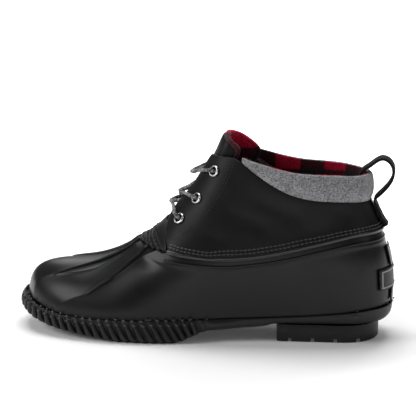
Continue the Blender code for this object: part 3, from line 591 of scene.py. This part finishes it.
# The label's frame: a fine raised line just inside the plate's edge, as wide round the heel as its turn.
HEEL_CENTRE = Vector((0.018, 0.0, 0.0))
FRAME_INSET = 0.0022
FRAME_TURN = math.radians(40)
FRAME_RADIUS = 0.00055
ROUND_STEPS = 36
UPRIGHT_STEPS = 9
label_tree = tree_of(label)
low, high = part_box("heel_label")
foot, top = low.z + FRAME_INSET, high.z - FRAME_INSET


def on_back(turn, height):
    """A point of the label at a turn about the heel's middle, and its normal."""
    start = HEEL_CENTRE + level(turn) * 0.1 + Vector((0.0, 0.0, height))
    hit, normal, _, _ = label_tree.ray_cast(start, -level(turn))
    return hit, normal


corners = [(turn, foot) for turn in np.linspace(-FRAME_TURN, FRAME_TURN, ROUND_STEPS)]
corners += [(FRAME_TURN, height) for height in np.linspace(foot, top, UPRIGHT_STEPS)[1:]]
corners += [(turn, top) for turn in np.linspace(FRAME_TURN, -FRAME_TURN, ROUND_STEPS)[1:]]
corners += [(-FRAME_TURN, height) for height in np.linspace(top, foot, UPRIGHT_STEPS)[1:-1]]
spots = [on_back(turn, height) for turn, height in corners]
spots = [(hit, normal) for hit, normal in spots if hit]
pale_frame = rubber("label_frame_rubber", (0.32, 0.32, 0.32), 0.5, 0.6, 900.0, 0.1)
label_frame = sweep("label_frame", [hit for hit, _ in spots], FRAME_RADIUS, sides=6,
                    ups=[normal for _, normal in spots], closed=True)
place(label_frame, pale_frame, "label_rubber")


# Insole: foam board under a brushed dark cloth, cut to the foot's outline. It lies loose in the shell.
insole_cloth = finish("insole_cloth", (0.012, 0.012, 0.012), 0.95, Sheen_Weight=0.1)
nap = noise(insole_cloth, spot_on(insole_cloth), 900.0, 4.0)
into(insole_cloth, "Normal", relief(insole_cloth, nap, 0.6, 0.0006))
insole = cast("insole", "insole_board")
apply(insole, "BEVEL", width=0.0008, segments=2, limit_method="ANGLE", angle_limit=math.radians(40))
place(insole, insole_cloth, "insole_foam", "insole")


# Quarters: smooth black leather, cut as one piece a side and turned in at its edges. It is sewn down
# over the shell's band with two rows of waxed thread, and edged with two finer rows at the collar.
leather = finish("black_leather", (0.0055, 0.0055, 0.0055), 0.5, Specular_IOR_Level=0.17)
where = spot_on(leather)
cells = node(leather, "ShaderNodeTexVoronoi", {"Vector": where, "Scale": 1100.0, "Randomness": 1.0})
grain = blend(leather, 0.5, cells.outputs["Distance"], noise(leather, where, 420.0, 6.0))
soft = relief(leather, noise(leather, where, 30.0, 2.0), 0.5, 0.0011)
into(leather, "Normal", relief(leather, grain, 0.25, 0.0004, Normal=soft))
into(leather, "Roughness", spread_over(leather, noise(leather, where, 45.0, 5.0), 0.3, 0.7, 0.38, 0.52))

# The foot's middle axis runs between these two places along the part.
AXIS_TOE = -0.14
AXIS_HEEL = 0.012


def outward_at(spot):
    """From the middle of the foot towards a point of the wall, level with it."""
    axis = Vector((min(max(spot.x, AXIS_TOE), AXIS_HEEL), MIDLINE, spot.z))
    return (spot - axis).normalized()


def joined(edges):
    """For each point on some edges, the points that they join it to."""
    beside = {}
    for edge in edges:
        a, b = edge.verts
        beside.setdefault(a.index, []).append(b.index)
        beside.setdefault(b.index, []).append(a.index)
    return beside


def walk(beside, start, left):
    """The points in order from a start, each taken from those that are left."""
    run = [start]
    left.discard(start)
    while True:
        onward = [index for index in beside[run[-1]] if index in left]
        if not onward:
            return run
        run.append(onward[0])
        left.discard(onward[0])


def chain(piece, rule):
    """The points of a line of edges that a rule picks, in order from the outer side to the inner."""
    work = opened(piece)
    beside = joined(edge for edge in work.edges
                    if len(edge.link_faces) == 2 and rule(edge, *edge.link_faces))
    work.verts.ensure_lookup_table()
    runs = []
    left = set(beside)
    while left:
        ends = [index for index in left if len(beside[index]) == 1]
        start = ends[0] if ends else next(iter(left))
        runs.append([work.verts[index].co.copy() for index in walk(beside, start, left)])
    work.free()
    longest = max(runs, key=len)
    return longest if longest[0].y < longest[-1].y else longest[::-1]


def outer_and(face_rule):
    """Edges between a face of the rim that a rule picks and a face of the outer side."""
    def rule(edge, a, b):
        middle = (edge.verts[0].co + edge.verts[1].co) / 2.0
        outward = outward_at(middle)
        for rim, side in ((a, b), (b, a)):
            if face_rule(rim) and not face_rule(side) and side.normal.dot(outward) > 0.35:
                return rim.normal.dot(side.normal) < 0.75
        return False
    return rule


def even(path, pitch):
    """Points at an even spacing along a path."""
    path = np.array([list(spot) for spot in path])
    runs = np.concatenate([[0.0], np.cumsum(np.linalg.norm(np.diff(path, axis=0), axis=1))])
    count = max(int(runs[-1] / pitch), 2)
    places = np.linspace(0.0, runs[-1], count + 1)
    return [Vector([float(np.interp(at, runs, path[:, k])) for k in range(3)]) for at in places]


def smoothed(path, passes=3):
    """A path with its corners eased, and its two ends where they were."""
    spots = [spot.copy() for spot in path]
    for _ in range(passes):
        eased = [(a + b * 2.0 + c) / 4.0 for a, b, c in zip(spots, spots[1:], spots[2:])]
        spots = [spots[0], *eased, spots[-1]]
    return spots


SEARCH_OUT = 0.0008
DOWN = (0.0, 0.0, -1.0)


def beside_path(tree, path, far, lift=0.0, upward=(0.0, 0.0, 1.0)):
    """A path moved along the surface it lies on, with the surface's normal at each of its points."""
    found = []
    for i, spot in enumerate(path):
        ahead = (path[min(i + 1, len(path) - 1)] - path[max(i - 1, 0)]).normalized()
        _, normal, _, _ = tree.find_nearest(spot + outward_at(spot) * SEARCH_OUT)
        if normal.dot(outward_at(spot)) < 0.2:
            normal = outward_at(spot)
        across = normal.cross(ahead).normalized()
        if across.dot(Vector(upward)) < 0:
            across = -across
        hit, _, _, _ = tree.find_nearest(spot + across * far + normal * 0.001)
        found.append(hit)
    settled = []
    for spot in smoothed(found, 8):
        hit, normal, _, _ = tree.find_nearest(spot + outward_at(spot) * SEARCH_OUT)
        settled.append((hit + normal * lift, normal))
    return settled


def stitches(name, rows, length, width, height, material, slot):
    """Rows of thread on a surface: each row is a list of points with their normals, one a stitch."""
    frames = []
    for row in rows:
        for i, (spot, normal) in enumerate(row):
            ahead = row[min(i + 1, len(row) - 1)][0] - row[max(i - 1, 0)][0]
            ahead = (ahead - normal * ahead.dot(normal)).normalized()
            frames.append((spot, ahead, normal.cross(ahead), normal))
    place(copies(name, lozenge(length, width, height), frames), material, slot)


thread = finish("waxed_thread", (0.022, 0.022, 0.023), 0.38)
quarters = cast("leather_upper", "quarters")
bottom_edge = chain(quarters, outer_and(lambda face: face.normal.z < -0.5))
top_edge = chain(quarters, outer_and(lambda face: face.normal.z > 0.6))
keep_sharp(quarters, bent(0.5), 0.35)
subdivide(quarters, 2)

# Soft troughs where the shaft bends over the ankle and the throat pulls: ends in the side view,
# depth and half width, the same on both sides.
FOLDS = (
    ((-0.078, 0.104), (-0.040, 0.088), 0.0004, 0.0060),
    ((-0.052, 0.112), (-0.018, 0.098), 0.0003, 0.0060),
    ((-0.104, 0.088), (-0.074, 0.080), 0.0004, 0.0045),
    ((-0.020, 0.084), (0.016, 0.096), 0.0003, 0.0060),
    ((0.006, 0.104), (0.030, 0.096), 0.0003, 0.0050),
)


def fold_in(piece, folds):
    """Presses troughs into a piece, each with a low swell along its two sides."""
    for vertex in piece.data.vertices:
        for (x1, z1), (x2, z2), depth, width in folds:
            run = Vector((x2 - x1, z2 - z1))
            away = Vector((vertex.co.x - x1, vertex.co.z - z1))
            share = min(max(away.dot(run) / run.length_squared, 0.0), 1.0)
            far = (away - run * share).length / width
            ends = 1.0 - abs(share * 2.0 - 1.0) ** 3 * 0.7
            inward = depth * ends * (math.exp(-far * far) - 0.35 * math.exp(-((far - 1.7) ** 2)))
            vertex.co -= outward_at(vertex.co) * inward


fold_in(quarters, FOLDS)


def eyelet_seat(source):
    """Middle and outward direction of an eyelet, from its solid."""
    spots = np.array([vertex.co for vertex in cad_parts[source].data.vertices])
    middle = spots.mean(axis=0)
    _, _, axes = np.linalg.svd(spots - middle, full_matrices=False)
    normal = Vector(axes[2])
    middle = Vector(middle)
    if normal.dot(outward_at(middle)) < 0:
        normal = -normal
    return middle, normal


# A hole is punched through the leather for each eyelet.
HOLE_RADIUS = 0.0030
EYELETS = [f"eyelet_{side}_{number}" for side in ("outer", "inner") for number in (1, 2, 3)]
for source in EYELETS:
    middle, normal = eyelet_seat(source)
    bpy.ops.mesh.primitive_cylinder_add(vertices=20, radius=HOLE_RADIUS, depth=0.012)
    punch = bpy.context.object
    turn = normal.to_track_quat("Z", "Y").to_matrix().to_4x4()
    punch.data.transform(Matrix.Translation(middle) @ turn)
    apply(quarters, "BOOLEAN", operation="DIFFERENCE", object=punch)
    bpy.data.objects.remove(punch, do_unlink=True)
place(quarters, leather, "black_leather", "leather_upper")
quarters_tree = tree_of(quarters)

# Edge bead: the turned edge of the leather, drawn tight and glossy under the lowest stitch row. Each has
# its name, its height up the leather from the edge, and its radius.
BEADS = (("edge_bead", 0.0024, 0.0011), ("edge_roll", 0.0004, 0.0008))
BEAD_PITCH = 0.0015
bead_leather = finish("edge_leather", (0.010, 0.010, 0.011), 0.30, Specular_IOR_Level=0.5, Coat_Weight=0.1,
                      Coat_Roughness=0.2)
worn = noise(bead_leather, spot_on(bead_leather), 500.0, 3.0)
into(bead_leather, "Normal", relief(bead_leather, worn, 0.2, 0.0003))
lower = smoothed(even(bottom_edge, BEAD_PITCH), 12)
for name, far, radius in BEADS:
    run = beside_path(quarters_tree, lower, far)
    bead = sweep(name, [spot for spot, _ in run], radius, sides=10, squash=0.75, ups=[up for _, up in run])
    place(bead, bead_leather, "black_leather")

# The shell's band ends in a low rounded rim, a few millimetres below the leather's edge.
RIM_DROP = 0.0052
RIM_RADIUS = 0.0012
run = beside_path(shell_tree, lower, RIM_DROP, upward=DOWN)
band = sweep("shell_band_rim", [spot for spot, _ in run], RIM_RADIUS, sides=10, squash=0.55,
             ups=[up for _, up in run])
place(band, shell_rubber, "shell_rubber")

# Stitching: waxed thread in two rows above the leather's foot, and finer in two rows below its top.
THREAD_PITCH = 0.0034
LOWER_ROWS = (0.0064, 0.0097)
TOP_PITCH = 0.0026
TOP_ROWS = (0.0022, 0.0048)
lower = smoothed(even(bottom_edge, THREAD_PITCH), 4)
rows = [beside_path(quarters_tree, lower, far, lift=0.0002)[1:-1] for far in LOWER_ROWS]
stitches("lower_stitching", rows, 0.0030, 0.0013, 0.0013, thread, "black_leather")
upper_line = smoothed(even(top_edge, TOP_PITCH), 3)
rows = [beside_path(quarters_tree, upper_line, far, lift=0.0001, upward=DOWN) for far in TOP_ROWS]
stitches("top_stitching", rows, 0.0022, 0.0009, 0.0008, thread, "black_leather")

# Eyestay seams: two lines of fine stitching from the collar down to the throat's foot, on each side,
# which hold the facing behind the eyelets. The line is given in the side view.
SEAM = ((-0.071, 0.138), (-0.075, 0.127), (-0.079, 0.119), (-0.084, 0.110), (-0.093, 0.098),
        (-0.104, 0.086), (-0.114, 0.080))
SEAM_GAP = 0.0022
fine_thread = finish("fine_thread", (0.009, 0.009, 0.009), 0.5, Specular_IOR_Level=0.3)
rows = []
for side in (-1.0, 1.0):
    for shift in (-SEAM_GAP / 2.0, SEAM_GAP / 2.0):
        hits = [quarters_tree.ray_cast(Vector((x + shift, side * 0.2, z)), Vector((0.0, -side, 0.0)))[0]
                for x, z in SEAM]
        line = [hit for hit in hits if hit]
        rows.append([quarters_tree.find_nearest(spot)[:2] for spot in smoothed(even(line, TOP_PITCH), 2)])
stitches("eyestay_stitching", rows, 0.0020, 0.0007, 0.0006, fine_thread, "black_leather")


# Vamp: the leather across the foot of the tongue, sewn to it and drawn into cross ribs by its rows of
# stitching. The ribs climb the instep at an even pitch from the piece's front.
VAMP_RIBS = 5
VAMP_PITCH = 0.0034
RIB_HEIGHT = 0.0013
FIRST_RIB = 0.3
CLIMB = Vector((0.70, 0.0, 0.71))
vamp = cast("vamp", "vamp_piece")
subdivide(vamp, 3)
vamp_front = Vector((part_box("vamp")[0].x, MIDLINE, 0.0693))
for vertex in vamp.data.vertices:
    outward = vertex.normal
    if outward.dot(Vector((-0.7, vertex.co.y * 12.0, 0.7))) < 0.2:
        continue
    wave = (vertex.co - vamp_front).dot(CLIMB) / VAMP_PITCH
    if FIRST_RIB < wave < VAMP_RIBS + 0.5:
        vertex.co += outward * RIB_HEIGHT * math.sin(2.0 * math.pi * (wave - FIRST_RIB))
place(vamp, leather, "black_leather", "vamp")


# Tongue: soft leather outside and checked fleece inside, wide enough to fold round under the quarters.
# It is sewn to the vamp at its foot and lies loose above it.
tongue = cast("tongue", "tongue_piece")
subdivide(tongue, 3)
place(tongue, leather, "black_leather", "tongue")


# Fleece: a brushed red and black check, about 19 mm a square, cut on the straight of the cloth and
# bonded inside the shaft, the cuff and the tongue. Where red crosses black the two tones mix.
CHECK = 0.019
BLACK = (0.010, 0.009, 0.010)
MIXED = (0.040, 0.004, 0.008)
RED = (0.42, 0.002, 0.030)
fleece = finish("check_fleece", (0.3, 0.01, 0.02), 0.95, Specular_IOR_Level=0.2, Sheen_Weight=0.12)
cloth = node(fleece, "ShaderNodeUVMap", uv_map="cloth").outputs["UV"]
where = spot_on(fleece)
ruffle = node(fleece, "ShaderNodeTexNoise", {"Vector": where, "Scale": 420.0, "Detail": 3.0})
shift = node(fleece, "ShaderNodeVectorMath", {0: ruffle.outputs["Color"], 1: (0.5, 0.5, 0.5)},
             operation="SUBTRACT")
spread = node(fleece, "ShaderNodeVectorMath", {0: shift.outputs["Vector"], "Scale": 0.10}, operation="SCALE")
drawn = node(fleece, "ShaderNodeVectorMath", {0: cloth, 1: spread.outputs["Vector"]}, operation="ADD")
parts = node(fleece, "ShaderNodeSeparateXYZ", {"Vector": drawn.outputs["Vector"]})
bands = []
for axis in ("X", "Y"):
    wave = maths(fleece, "SINE", maths(fleece, "MULTIPLY", parts.outputs[axis], math.pi))
    bands.append(spread_over(fleece, wave, -0.12, 0.12, 0.0, 0.5))
check = shades(fleece, maths(fleece, "ADD", *bands), (0.0, BLACK), (0.5, MIXED), (1.0, RED))
speck = spread_over(fleece, noise(fleece, where, 1500.0, 2.0), 0.3, 0.7, 0.55, 1.5)
tint = node(fleece, "ShaderNodeVectorMath", {0: check, "Scale": speck}, operation="SCALE")
into(fleece, "Base Color", tint.outputs["Vector"])
tuft = node(fleece, "ShaderNodeTexVoronoi", {"Vector": where, "Scale": 700.0})
into(fleece, "Normal", relief(fleece, tuft.outputs["Distance"], 0.8, 0.0009))


def peel(source, name, seed, sharpness=48.0):
    """A sheet like one side of a solid: the faces that run on flat from the one by the seed."""
    piece = cast(source, name)
    index = min(piece.data.polygons, key=lambda face: (face.center - Vector(seed)).length).index
    only(piece)
    bpy.ops.object.mode_set(mode="EDIT")
    bpy.ops.mesh.select_all(action="DESELECT")
    bpy.ops.mesh.select_mode(type="FACE")
    bpy.ops.object.mode_set(mode="OBJECT")
    piece.data.polygons[index].select = True
    bpy.ops.object.mode_set(mode="EDIT")
    bpy.ops.mesh.faces_select_linked_flat(sharpness=math.radians(sharpness))
    bpy.ops.mesh.select_all(action="INVERT")
    bpy.ops.mesh.delete(type="FACE")
    bpy.ops.object.mode_set(mode="OBJECT")
    return piece


def drop_faces(piece, rule):
    """Deletes the faces of a piece that a rule picks."""
    work = opened(piece)
    bmesh.ops.delete(work, geom=[face for face in work.faces if rule(face)], context="FACES")
    written(work, piece)


def looks_away(face):
    """Whether a face doesn't look into the boot."""
    return face.normal.dot(outward_at(face.calc_center_median())) > -0.25


def pile(piece, thickness, tuft_size=0.0016, depth=0.00035, levels=2):
    """Thickens a sheet on its face side and ruffles it like short fleece."""
    apply(piece, "SOLIDIFY", thickness=thickness, offset=1.0)
    subdivide(piece, levels)
    normals = [vertex.normal.copy() for vertex in piece.data.vertices]
    for vertex, normal in zip(piece.data.vertices, normals):
        a = vertex.co / tuft_size
        rough = math.sin(a.x * 2.1 + math.sin(a.y * 1.7)) * math.sin(a.y * 1.9 + math.sin(a.z * 2.3))
        rough *= math.sin(a.z * 2.2 + math.sin(a.x * 1.3))
        vertex.co += normal * depth * rough


def cut_cloth(piece, measure):
    layer = piece.data.uv_layers.get("cloth") or piece.data.uv_layers.new(name="cloth")
    for loop in piece.data.loops:
        layer.data[loop.index].uv = measure(piece.data.vertices[loop.vertex_index].co)


# The collar as the cloth runs: half round at the back, then straight along the two sides. The check
# starts at these distances from the heel's middle and from the ground.
COLLAR_HALF = 0.028
COLLAR_CENTRE = 0.026 - COLLAR_HALF
COLLAR_START = (-0.0105, 0.1245)


def along_collar(spot):
    """Length round the collar from the heel's middle, as the cloth runs, with its height."""
    side = -1.0 if spot.y < 0.0 else 1.0
    if spot.x > COLLAR_CENTRE:
        run = COLLAR_HALF * math.atan2(abs(spot.y), max(spot.x - COLLAR_CENTRE, 1e-5))
    else:
        run = COLLAR_HALF * math.pi / 2.0 + (COLLAR_CENTRE - spot.x)
    return ((side * run - COLLAR_START[0]) / CHECK, (spot.z - COLLAR_START[1]) / CHECK)


lining = peel("collar_cuff", "collar_lining", (-0.01, 0.026, 0.120))
drop_faces(lining, looks_away)
pile(lining, 0.0011)
cut_cloth(lining, along_collar)
place(lining, fleece, "check_fleece")

# In the shaft the cloth stops where the padded cuff covers it, below the leather's top edge, and at the
# leather facing behind the eyelets and the throat.
FACING = 0.009
TOP_TURN = 0.009
PAD_GAP = 0.003
PAD_REACH = 0.014
shaft_lining = peel("leather_upper", "shaft_lining", (-0.02, 0.030, 0.095))
drop_faces(shaft_lining, looks_away)
subdivide(shaft_lining, 2)
seats = {source: eyelet_seat(source)[0] for source in EYELETS}
cuff_tree = tree_of(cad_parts["collar_cuff"])


def before_facing(spot):
    """Whether a point lies forward of the facing's edge, which runs beside the row of eyelets."""
    word = "outer" if spot.y < MIDLINE else "inner"
    low, high = seats[f"eyelet_{word}_1"], seats[f"eyelet_{word}_3"]
    slope = (high.x - low.x) / (high.z - low.z)
    return spot.x < low.x + (spot.z - low.z) * slope + FACING


def covered(face):
    """Whether a face of the shaft's lining is behind the pad, the top's turned edge or the facing."""
    middle = face.calc_center_median()
    inward = -outward_at(middle)
    hit, _, _, _ = cuff_tree.ray_cast(middle + inward * 0.0001, inward, PAD_REACH)
    _, _, _, far = cuff_tree.find_nearest(middle)
    edge_far = min((middle - spot).length for spot in upper_line)
    return hit or far < PAD_GAP or edge_far < TOP_TURN or before_facing(middle)


drop_faces(shaft_lining, covered)
pile(shaft_lining, 0.0010, levels=1)
cut_cloth(shaft_lining, along_collar)
place(shaft_lining, fleece, "check_fleece")


def along_tongue(spot):
    """The place of a point of the tongue on its own cut of the cloth."""
    return ((spot.y + 0.004) / CHECK, (spot.z - 0.143) / CHECK)


def open_rim(sheet, lowest):
    """The open edge of a sheet above a height, as one run of points."""
    work = opened(sheet)
    beside = joined(edge for edge in work.edges
                    if len(edge.link_faces) == 1 and min(vertex.co.z for vertex in edge.verts) > lowest)
    work.verts.ensure_lookup_table()
    start = next(index for index in beside if len(beside[index]) == 1)
    found = [work.verts[index].co.copy() for index in walk(beside, start, set(beside))]
    work.free()
    return found


# Tongue's lining: the fleece lines the tongue and shows as a soft thick edge round its top.
ROLL_RADIUS = 0.0021
ROLL_BACK = Vector((0.0012, 0.0, 0.0))
ROLL_LOWEST = 0.118
tongue_lining = peel("tongue", "tongue_lining", (-0.080, 0.004, 0.140))
rim = smoothed(even(open_rim(tongue_lining, ROLL_LOWEST), 0.0012), 6)
pile(tongue_lining, 0.0022, depth=0.0005)
roll = sweep("tongue_roll", [spot + ROLL_BACK for spot in rim], ROLL_RADIUS, sides=12)
subdivide(roll, 1)
for piece in (tongue_lining, roll):
    cut_cloth(piece, along_tongue)
    place(piece, fleece, "check_fleece")

# Shell lining: thin black cloth bonded inside the rubber.
shell_lining = peel("rubber_shell", "shell_lining", (-0.05, 0.032, 0.050))
apply(shell_lining, "SOLIDIFY", thickness=0.0006, offset=1.0)
subdivide(shell_lining, 1)
place(shell_lining, insole_cloth, "insole_foam")


# Cuff: grey heathered felt over soft foam, rolled over the collar's rim and sewn in behind the leather.
felt = finish("grey_felt", (0.30, 0.30, 0.31), 0.95, Sheen_Weight=0.35, Sheen_Roughness=0.5)
where = spot_on(felt)
stretch = node(felt, "ShaderNodeMapping", {"Vector": where, "Scale": (1.0, 1.0, 2.2)})
hairs = noise(felt, stretch.outputs["Vector"], 900.0, 5.0, Distortion=1.5)
mixed = blend(felt, 0.12, hairs, noise(felt, where, 160.0, 4.0))
into(felt, "Base Color", shades(felt, mixed, (0.40, (0.018, 0.018, 0.020)), (0.60, (0.34, 0.34, 0.35))))
into(felt, "Normal", relief(felt, hairs, 0.6, 0.0006))
cuff = cast("collar_cuff", "collar_pad")

# The pad's foot is tucked down between the leather and the lining.
TUCK_DOWN = 0.0045
TUCK_IN = 0.0024
work = opened(cuff)
foot = {vertex for face in work.faces if face.normal.z < -0.5 for vertex in face.verts}
outer = {vertex for vertex in foot
         if any(face.normal.dot(outward_at(vertex.co)) > 0.3 for face in vertex.link_faces)}
for vertex in foot:
    outward = outward_at(vertex.co)
    vertex.co.z -= TUCK_DOWN
    if vertex in outer:
        vertex.co -= outward * TUCK_IN
written(work, cuff)
subdivide(cuff, 3)
place(cuff, felt, "grey_felt", "collar_cuff")


# Eyelets: rolled nickel rings, set through the leather and clenched behind it. The profile has the
# distance from the axis and the height over the base, from inside the bore round to the flange.
EYELET_RADIUS = 0.0045
BORE_RADIUS = 0.0029
PROFILE = ((BORE_RADIUS, -0.0017), (BORE_RADIUS, 0.0002), (BORE_RADIUS + 0.0003, 0.0010),
           (BORE_RADIUS + 0.0006, 0.0014), (EYELET_RADIUS - 0.0005, 0.0012),
           (EYELET_RADIUS - 0.0001, 0.0006), (EYELET_RADIUS, 0.0), (EYELET_RADIUS - 0.0004, -0.0003),
           (BORE_RADIUS + 0.0004, -0.0004), (BORE_RADIUS + 0.0003, -0.0017))
EYELET_SIDES = 28
EYELET_SUNK = 0.0006
nickel = finish("eyelet_nickel", (0.62, 0.62, 0.63), 0.22, Metallic=1.0)
rub = noise(nickel, spot_on(nickel), 900.0, 4.0)
into(nickel, "Roughness", spread_over(nickel, rub, 0.3, 0.7, 0.16, 0.34))
for source in EYELETS:
    middle, normal = eyelet_seat(source)
    base = middle - normal * EYELET_SUNK
    across = normal.orthogonal().normalized()
    other = normal.cross(across)
    work = bmesh.new()
    rings = [ring_of(work, base + normal * up, across, other, far, EYELET_SIDES) for far, up in PROFILE]
    for one, two in zip(rings, rings[1:] + rings[:1]):
        skin(work, one, two)
    bmesh.ops.recalc_face_normals(work, faces=work.faces[:])
    place(built(source + "_ring", work), nickel, "eyelet_metal", source)


# Laces: round braided cord, flecked grey on black, threaded through the eyelets from behind and
# criss-crossed over the tongue.
cord_finish = finish("flecked_cord", (0.1, 0.1, 0.1), 0.75)
along = node(cord_finish, "ShaderNodeUVMap", uv_map="cord").outputs["UV"]
scaled = node(cord_finish, "ShaderNodeMapping", {"Vector": along, "Scale": (1.0, 260.0, 1.0)})
parts = node(cord_finish, "ShaderNodeSeparateXYZ", {"Vector": scaled.outputs["Vector"]})
braids = []
for way in (4.0, -4.0):
    around = maths(cord_finish, "MULTIPLY_ADD", parts.outputs["X"], way, parts.outputs["Y"])
    braids.append(maths(cord_finish, "SINE", maths(cord_finish, "MULTIPLY", around, 2.0 * math.pi)))
braid = maths(cord_finish, "MULTIPLY", *braids)
tone = maths(cord_finish, "MULTIPLY_ADD", braid, 0.10, noise(cord_finish, scaled.outputs["Vector"], 1.6, 2.0))
into(cord_finish, "Base Color", shades(cord_finish, tone, (0.40, (0.012, 0.012, 0.013)),
                                       (0.62, (0.26, 0.26, 0.26))))
into(cord_finish, "Normal", relief(cord_finish, braid, 0.5, 0.0003))


def curve(points, pitch=0.0012):
    """A smooth curve through a few points, read at an even spacing."""
    points = [Vector(point) for point in points]
    spots = []
    for i in range(len(points) - 1):
        before = points[max(i - 1, 0)]
        after = points[min(i + 2, len(points) - 1)]
        count = max(int((points[i + 1] - points[i]).length / pitch), 2)
        for k in range(count):
            s = k / count
            left = (points[i + 1] - before) / 2.0
            right = (after - points[i]) / 2.0
            spots.append(points[i] * (2 * s**3 - 3 * s**2 + 1) + left * (s**3 - 2 * s**2 + s)
                         + points[i + 1] * (3 * s**2 - 2 * s**3) + right * (s**3 - s**2))
    spots.append(points[-1])
    return spots


# Where each crossing rides over the throat, in the side view, from the lowest up. The strand on top of a
# crossing rides a little higher, and each strand ends under the far side of the throat.
CRESTS = ((-0.1205, 0.1014), (-0.1143, 0.1089), (-0.1045, 0.1246))
ON_TOP = Vector((-0.0011, 0.0, 0.0011))
LACE_RADIUS = 0.0014
LIP_FORWARD = 0.0042
LIP_PROUD = 0.0026
EDGE_SHARES = (0.35, 0.55, 0.75)
FORWARD = Vector((-0.85, 0.0, 0.52))
RAY_LENGTH = 0.03
PAST_TOP = Vector((0.004, 0.0, 0.011))
# The share of the way to the far side where a strand dips, and how far its middle is from the tongue.
DIPS = ((0.45, 0.0013), (0.75, 0.0002))
tongue_tree = tree_of(tongue, vamp)
upper_tree = tree_of(quarters, tongue)
for number, (x, z) in enumerate(CRESTS, start=1):
    for word, other_word in (("outer", "inner"), ("inner", "outer")):
        middle, normal = eyelet_seat(f"eyelet_{word}_{number}")
        far_middle, _ = eyelet_seat(f"eyelet_{other_word}_{min(number + 1, 3)}")
        if number == 3:
            far_middle = far_middle + PAST_TOP
        crest = Vector((x, MIDLINE, z))
        if (number % 2 == 1) == (word == "outer"):
            crest += ON_TOP
        toward = (crest - middle).normalized()
        toward = (toward - normal * toward.dot(normal)).normalized()
        lip = middle + toward * LIP_FORWARD + normal * LIP_PROUD
        path = [middle - normal * 0.0016, middle + normal * 0.0008 + toward * 0.0006, lip]
        for share in EDGE_SHARES:
            rest = lip.lerp(crest, share)
            way = (normal * (1.0 - share) + FORWARD * share).normalized()
            hit, _, _, _ = upper_tree.ray_cast(rest + way * RAY_LENGTH, -way, RAY_LENGTH)
            path.append(hit + way * LACE_RADIUS if hit else rest)
        path.append(crest)
        for share, lift in DIPS:
            hit, up, _, _ = tongue_tree.find_nearest(crest + (far_middle - crest) * share)
            path.append(hit + up * lift)
        strand = sweep(f"lace_{word}_{number}", curve(path), LACE_RADIUS, sides=14)
        place(strand, cord_finish, "lace_cord", *([f"lace_cross_{number}"] if word == "outer" else []))


# Pull loop: woven black tape, sewn inside the collar, looped over and stitched down the back.
tape = finish("black_tape", (0.004, 0.004, 0.004), 0.8, Specular_IOR_Level=0.2)
where = spot_on(tape)
wales = node(tape, "ShaderNodeTexWave", {"Vector": where, "Scale": 260.0, "Distortion": 0.6, "Detail": 1.0},
             bands_direction="Y")
picks = node(tape, "ShaderNodeTexVoronoi", {"Vector": where, "Scale": 1300.0})
weave = blend(tape, 0.45, wales.outputs["Fac"], picks.outputs["Distance"])
into(tape, "Normal", relief(tape, weave, 0.8, 0.0005))
loop = cast("pull_loop", "pull_loop_tape")
keep_sharp(loop, bent(0.3), 0.7)
subdivide(loop, 3)
place(loop, tape, "black_tape", "pull_loop")
